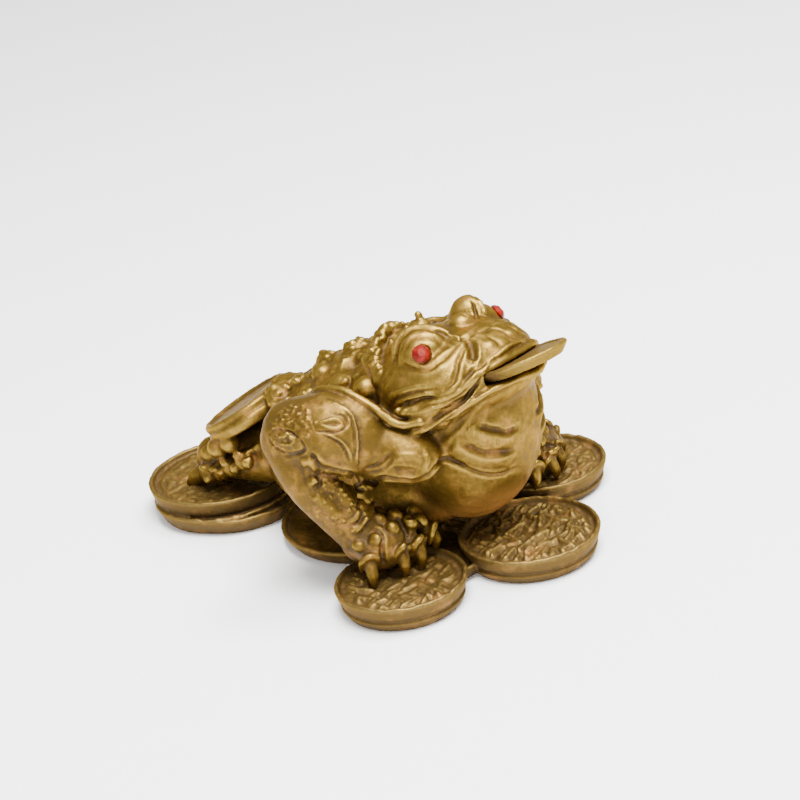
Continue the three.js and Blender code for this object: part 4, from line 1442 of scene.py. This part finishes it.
class NodeBench:
    """A node tree and the few steps that lay out nodes in it."""

    def __init__(self, tree: bpy.types.NodeTree) -> None:
        """Work on one tree."""
        self.tree = tree

    def add(
        self, kind: str, values: dict[str | int, object] | None = None, **settings: object
    ) -> bpy.types.Node:
        """Add a node.

        Args:
            kind: the node's type, without its ShaderNode prefix.
            values: what goes on its input sockets, either a plain value or another node's output.
            settings: the node's own settings.

        Returns:
            The node.
        """
        node = self.tree.nodes.new("ShaderNode" + kind)
        for name, setting in settings.items():
            setattr(node, name, setting)
        for name, value in (values or {}).items():
            if isinstance(value, bpy.types.NodeSocket):
                self.tree.links.new(value, node.inputs[name])
            else:
                node.inputs[name].default_value = value
        return node

    def spread(
        self, value: bpy.types.NodeSocket, low: float, high: float,
        to_low: float = 0.0, to_high: float = 1.0,
    ) -> bpy.types.NodeSocket:
        """Stretch a value from one range to another, and keep it inside.

        Args:
            value: the value.
            low: the first range's start.
            high: its end.
            to_low: the second range's start.
            to_high: its end.

        Returns:
            The stretched value.
        """
        ranges = {"From Min": low, "From Max": high, "To Min": to_low, "To Max": to_high}
        return self.add("MapRange", {"Value": value, **ranges}).outputs["Result"]

    def blend(self, share: bpy.types.NodeSocket, first: object, second: object) -> bpy.types.NodeSocket:
        """Mix two colours by a share, from the first at 0 to the second at 1."""
        node = self.add("Mix", {0: share, 6: first, 7: second}, data_type="RGBA")
        return node.outputs[2]

    def sum(self, *terms: tuple[bpy.types.NodeSocket, float]) -> bpy.types.NodeSocket:
        """Add up values, each times its weight.

        Args:
            terms: each value with its weight.

        Returns:
            The sum.
        """
        parts = [self.add("Math", {0: value, 1: weight}, operation="MULTIPLY").outputs[0]
                 for value, weight in terms]
        total = parts[0]
        for part in parts[1:]:
            total = self.add("Math", {0: total, 1: part}, operation="ADD").outputs[0]
        return total

    def ramp(
        self, value: bpy.types.NodeSocket, stops: tuple[tuple[float, Colour], ...]
    ) -> bpy.types.NodeSocket:
        """Turn a value into a colour along a few stops.

        Args:
            value: the value, from 0 to 1.
            stops: places and colours, the two ends first.

        Returns:
            The colour.
        """
        node = self.add("ValToRGB", {"Fac": value})
        elements = node.color_ramp.elements
        for i, (place, colour) in enumerate(stops):
            element = elements[i] if i < 2 else elements.new(place)
            element.position = place
            element.color = (*colour, 1.0)
        return node.outputs["Color"]


def wash_group() -> bpy.types.NodeTree:
    """Build the group that tells recesses from worn high spots, with painted shade and painted light mixed
    in.

    Returns:
        The group, whose outputs are worn high spots against recesses, with painted shade and painted light
        mixed in, from 0 to 1, broad patches from 0 to 1, and a grain height.
    """
    tree = bpy.data.node_groups.new("wash_wear_and_shade", "ShaderNodeTree")
    for name in ("Fine", "Broad", "Open", "Painted_Top_Light", "Patch Size", "Grain Size"):
        tree.interface.new_socket(name, in_out="INPUT", socket_type="NodeSocketFloat")
    for name in ("Wear_and_Shade", "Patches", "Grain"):
        tree.interface.new_socket(name, in_out="OUTPUT", socket_type="NodeSocketFloat")
    bench = NodeBench(tree)
    given = tree.nodes.new("NodeGroupInput").outputs
    result = tree.nodes.new("NodeGroupOutput").inputs
    place = bench.add("TexCoord").outputs["Object"]
    patches = bench.add(
        "TexNoise", {"Vector": place, "Scale": given["Patch Size"], "Detail": 5.0, "Roughness": 0.62}
    ).outputs["Fac"]
    grain = bench.add(
        "TexNoise", {"Vector": place, "Scale": given["Grain Size"], "Detail": 4.0, "Roughness": 0.7}
    ).outputs["Fac"]
    fine = bench.spread(given["Fine"], -0.12, 0.12)
    broad = bench.spread(given["Broad"], -0.7, 0.7)
    parts = bench.add("SeparateXYZ", {"Vector": place}).outputs
    aside = bench.add("Math", {0: parts["X"]}, operation="ABSOLUTE").outputs[0]
    # Painted light: the colour is made lighter higher up and darker on the outer sides.
    height = bench.sum(
        (bench.spread(parts["Z"], 0.0, 0.05, -0.6, 0.4), 1.0), (bench.spread(aside, 0.018, 0.028), -0.8)
    )
    # The Open input is ambient occlusion: painted shade in creases, under overhangs and between parts,
    # together with the real patina in the hollows.
    wear_and_shade = bench.sum(
        (fine, 0.60), (broad, 0.50), (given["Open"], 0.48), (patches, 0.50), (grain, 0.40),
        (height, given["Painted_Top_Light"]),
    )
    tree.links.new(bench.spread(wear_and_shade, 0.80, 1.76), result["Wear_and_Shade"])
    tree.links.new(patches, result["Patches"])
    tree.links.new(grain, result["Grain"])
    return tree


@dataclass(frozen=True)
class AntiqueGold:
    """Metallic gold paint, dark in the recesses and worn bright on the high spots, with painted shade from
    ambient occlusion in the recesses and painted light that makes it lighter higher up and darker on the
    outer sides.
    """

    name: str
    deep: Colour = (0.026, 0.0125, 0.0030)
    shade: Colour = (0.052, 0.0275, 0.0042)
    body: Colour = (0.095, 0.053, 0.0066)
    bright: Colour = (0.215, 0.137, 0.025)
    # the marked colour: a real discolouring on the toad's throat, painted shade on the mouth coin
    stain_and_shade: Colour = (0.43, 0.185, 0.045)
    edge: Colour = (0.75, 0.58, 0.36)
    patch_size: float = 260.0
    grain_size: float = 2200.0
    bump: float = 0.6
    bump_height: float = 0.00012
    # reach of the ambient occlusion that paints shade into the recesses
    wash_and_shade_reach: float = 0.004
    gloss: tuple[float, float] = (0.30, 0.56)
    mottle: float = 0.3
    # share of the painted light: lighter higher up, darker on the outer sides
    rise: float = 0.26

    def material(self, group: bpy.types.NodeTree) -> bpy.types.Material:
        """Build the material.

        Args:
            group: the group that tells recesses from high spots.

        Returns:
            The material.
        """
        material = bpy.data.materials.new(self.name)
        material.use_nodes = True
        bench = NodeBench(material.node_tree)
        shader = material.node_tree.nodes["Principled BSDF"]
        links = material.node_tree.links
        fine = bench.add("Attribute", attribute_name="fine_relief").outputs["Fac"]
        broad = bench.add("Attribute", attribute_name="broad_relief").outputs["Fac"]
        marked = bench.add("Attribute", attribute_name="stain_and_shade").outputs["Fac"]
        # Ambient occlusion: painted shade in creases, under overhangs and where pieces meet, together with
        # the real patina in the hollows.
        sky = bench.add("AmbientOcclusion", {"Distance": self.wash_and_shade_reach}, samples=8).outputs["AO"]
        wash_and_shade = bench.add("Group", node_tree=group)
        for name, value in (("Fine", fine), ("Broad", broad), ("Open", sky)):
            links.new(value, wash_and_shade.inputs[name])
        # weight of the painted light, lighter higher up and darker on the outer sides
        wash_and_shade.inputs["Painted_Top_Light"].default_value = self.rise
        wash_and_shade.inputs["Patch Size"].default_value = self.patch_size
        wash_and_shade.inputs["Grain Size"].default_value = self.grain_size
        wear_and_shade = wash_and_shade.outputs["Wear_and_Shade"]
        mottle = bench.spread(wash_and_shade.outputs["Patches"], 0.52, 0.72, 0.0, self.mottle)
        # the marked places (real discolouring on the toad, painted shade on the mouth coin) together with
        # random mottle
        stain_and_shade_share = bench.add("Math", {0: marked, 1: mottle}, operation="MAXIMUM").outputs[0]
        stops = ((0.0, self.deep), (1.0, self.bright), (0.32, self.shade), (0.62, self.body))
        gold = bench.ramp(wear_and_shade, stops)
        tinted = bench.blend(stain_and_shade_share, gold, (*self.stain_and_shade, 1.0))
        links.new(tinted, shader.inputs["Base Color"])
        shine = bench.sum((wear_and_shade, 1.0), (stain_and_shade_share, -0.7))
        links.new(bench.spread(shine, 0.1, 0.8, 0.3, 0.92), shader.inputs["Metallic"])
        dull = bench.sum((wear_and_shade, -0.20), (wash_and_shade.outputs["Patches"], 0.25))
        links.new(bench.spread(dull, -0.2, 0.2, *self.gloss), shader.inputs["Roughness"])
        shader.inputs["Specular Tint"].default_value = (*self.edge, 1.0)
        bump = bench.add(
            "Bump", {"Height": wash_and_shade.outputs["Grain"], "Strength": self.bump, "Distance": self.bump_height}
        )
        links.new(bump.outputs["Normal"], shader.inputs["Normal"])
        return material


@dataclass(frozen=True)
class RedStone:
    """Red foil-backed glass."""

    name: str = "red_stone"
    colour: Colour = (0.115, 0.003, 0.0003)
    edge: Colour = (0.24, 0.009, 0.0008)

    def material(self) -> bpy.types.Material:
        """Build the material.

        Returns:
            The material.
        """
        material = bpy.data.materials.new(self.name)
        material.use_nodes = True
        bench = NodeBench(material.node_tree)
        shader = material.node_tree.nodes["Principled BSDF"]
        place = bench.add("TexCoord").outputs["Object"]
        flecks = bench.add("TexNoise", {"Vector": place, "Scale": 900.0, "Detail": 2.0}).outputs["Fac"]
        colour = bench.blend(bench.spread(flecks, 0.4, 0.65), (*self.colour, 1.0), (*self.edge, 1.0))
        material.node_tree.links.new(colour, shader.inputs["Base Color"])
        shader.inputs["Metallic"].default_value = 0.0
        shader.inputs["Transmission Weight"].default_value = 0.2
        shader.inputs["Roughness"].default_value = 0.35
        shader.inputs["IOR"].default_value = 1.25
        return material


@dataclass
class Studio:
    """The camera, the pale floor and the soft light."""

    place: Point = (-398.1, -323.55, 256.31)
    aim: Point = (55.58, 31.64, 0.0)
    roll: float = -8.776
    lens: float = 117.0
    film: float = 36.0
    picture: float = 800.0
    lamps: tuple[tuple[str, Point, float, float], ...] = (
        ("key", (-0.12, -0.16, 0.68), 0.3, 15.0), ("front", (0.20, -0.18, 0.62), 0.25, 6.5),
        ("fill", (-0.5, -0.4, 0.18), 0.35, 2.4),
    )
    lamp_aim: Point = (0, 0, 0.02)
    world_light: float = 1.1
    floor_half: float = 6.0
    floor_shade: float = 0.99
    floor_roughness: float = 0.8

    def pose(self) -> Matrix:
        """Where the camera stands and how it is turned, in millimetres."""
        look = (Vector(self.aim) - Vector(self.place)).to_track_quat("-Z", "Y").to_matrix().to_4x4()
        return Matrix.Translation(self.place) @ look @ Matrix.Rotation(math.radians(self.roll), 4, "Z")

    def camera(self) -> None:
        """Set the camera at the photograph's viewpoint."""
        data = bpy.data.cameras.new("camera")
        data.lens = self.lens
        data.sensor_width = self.film
        data.clip_start = 0.01
        camera = bpy.data.objects.new("camera", data)
        bpy.context.scene.collection.objects.link(camera)
        pose = self.pose()
        pose.translation *= MM
        camera.matrix_world = pose
        bpy.context.scene.camera = camera

    def light(self, name: str, place: Point, size: float, watts: float) -> None:
        """Add one soft area light that faces the figure.

        Args:
            name: its name.
            place: where it stands, in metres.
            size: how wide it is.
            watts: its power.
        """
        data = bpy.data.lights.new(name, "AREA")
        data.size = size
        data.energy = watts
        lamp = bpy.data.objects.new(name, data)
        bpy.context.scene.collection.objects.link(lamp)
        aim = Vector(self.lamp_aim) - Vector(place)
        lamp.matrix_world = Matrix.Translation(place) @ aim.to_track_quat("-Z", "Y").to_matrix().to_4x4()

    def build(self) -> None:
        """Set the camera, floor and lights."""
        self.camera()
        world = bpy.data.worlds.new("studio")
        bpy.context.scene.world = world
        world.use_nodes = True
        sky = world.node_tree.nodes["Background"].inputs
        sky["Color"].default_value = (1, 1, 1, 1)
        sky["Strength"].default_value = self.world_light
        form = bmesh.new()
        bmesh.ops.create_grid(form, x_segments=1, y_segments=1, size=self.floor_half)
        mesh = bpy.data.meshes.new("floor")
        form.to_mesh(mesh)
        form.free()
        floor = bpy.data.objects.new("floor", mesh)
        bpy.context.scene.collection.objects.link(floor)
        material = bpy.data.materials.new("pale_floor")
        material.use_nodes = True
        shader = material.node_tree.nodes["Principled BSDF"]
        shader.inputs["Base Color"].default_value = (*[self.floor_shade] * 3, 1)
        shader.inputs["Roughness"].default_value = self.floor_roughness
        mesh.materials.append(material)
        for lamp in self.lamps:
            self.light(*lamp)


def main() -> None:
    """Build the figure, dress it and set the studio."""
    Studio().build()
    wash_and_shade = wash_group()
    gold = AntiqueGold("antique_gold").material(wash_and_shade)
    coin_gold = AntiqueGold(
        "coin_gold", rise=0.0, deep=(0.040, 0.022, 0.007), shade=(0.064, 0.038, 0.011),
        body=(0.078, 0.045, 0.011), bright=(0.145, 0.094, 0.026), patch_size=180.0, gloss=(0.42, 0.68),
    ).material(wash_and_shade)
    # Its marked colour is the dark painted shade on the coin where it goes in under the lips.
    mouth_gold = AntiqueGold(
        "mouth_coin_gold", deep=(0.04, 0.022, 0.006), shade=(0.065, 0.036, 0.008),
        body=(0.105, 0.063, 0.010), stain_and_shade=(0.055, 0.030, 0.009), gloss=(0.40, 0.62),
    ).material(wash_and_shade)
    toad = ToadFigure()
    skin = toad.build()
    skin.measure_hollows()
    x, y, z = skin.place.T
    low = np.clip((20 - z) / 9, 0, 1) * np.clip((-22 - y) / 6, 0, 1) * np.clip((14 - abs(x)) / 3, 0, 1)
    skin.layers["stain_and_shade"] = low * (0.55 + 0.35 * grain(skin.place, 5.0, 11))
    skin.place[:, 2] += SEAT
    body = show(skin.to_mesh("toad"), "toad", "toad_on_coins", toad.triangles)
    body.data.materials.append(gold)
    coin_bed = CoinBed()
    bed = coin_bed.build()
    bed.measure_hollows()
    bed.layers["fine_relief"] *= 0.6
    # Painted light: faces turned up are made lighter and the coins' sides darker, as if lit from above.
    bed.layers["broad_relief"] += 0.75 * np.clip(bed.normals(2)[:, 2], 0, 1) - 0.4
    coins = show(bed.to_mesh("coin_bed"), "coin_bed", "toad_on_coins", coin_bed.triangles)
    coins.data.materials.append(coin_gold)
    mouth_coin = MouthCoin()
    carried = mouth_coin.build()
    carried.measure_hollows()
    carried.place[:, 2] += SEAT
    disc = carried.to_mesh("coin_in_mouth")
    coin = show(disc, "coin_in_mouth", "mouth_coin", mouth_coin.triangles)
    coin.data.materials.append(mouth_gold)
    red = RedStone().material()
    stones = EyeStones()
    for side, hand in ((LEVEL, "right"), (MIRROR, "left")):
        name = f"eye_stone_{hand}"
        stone = show(stones.build(side, name), name, f"eye_gem_{hand}")
        stone.data.materials.append(red)


if __name__ == "__main__":
    logging.basicConfig(level=logging.INFO, format="%(message)s")
    main()
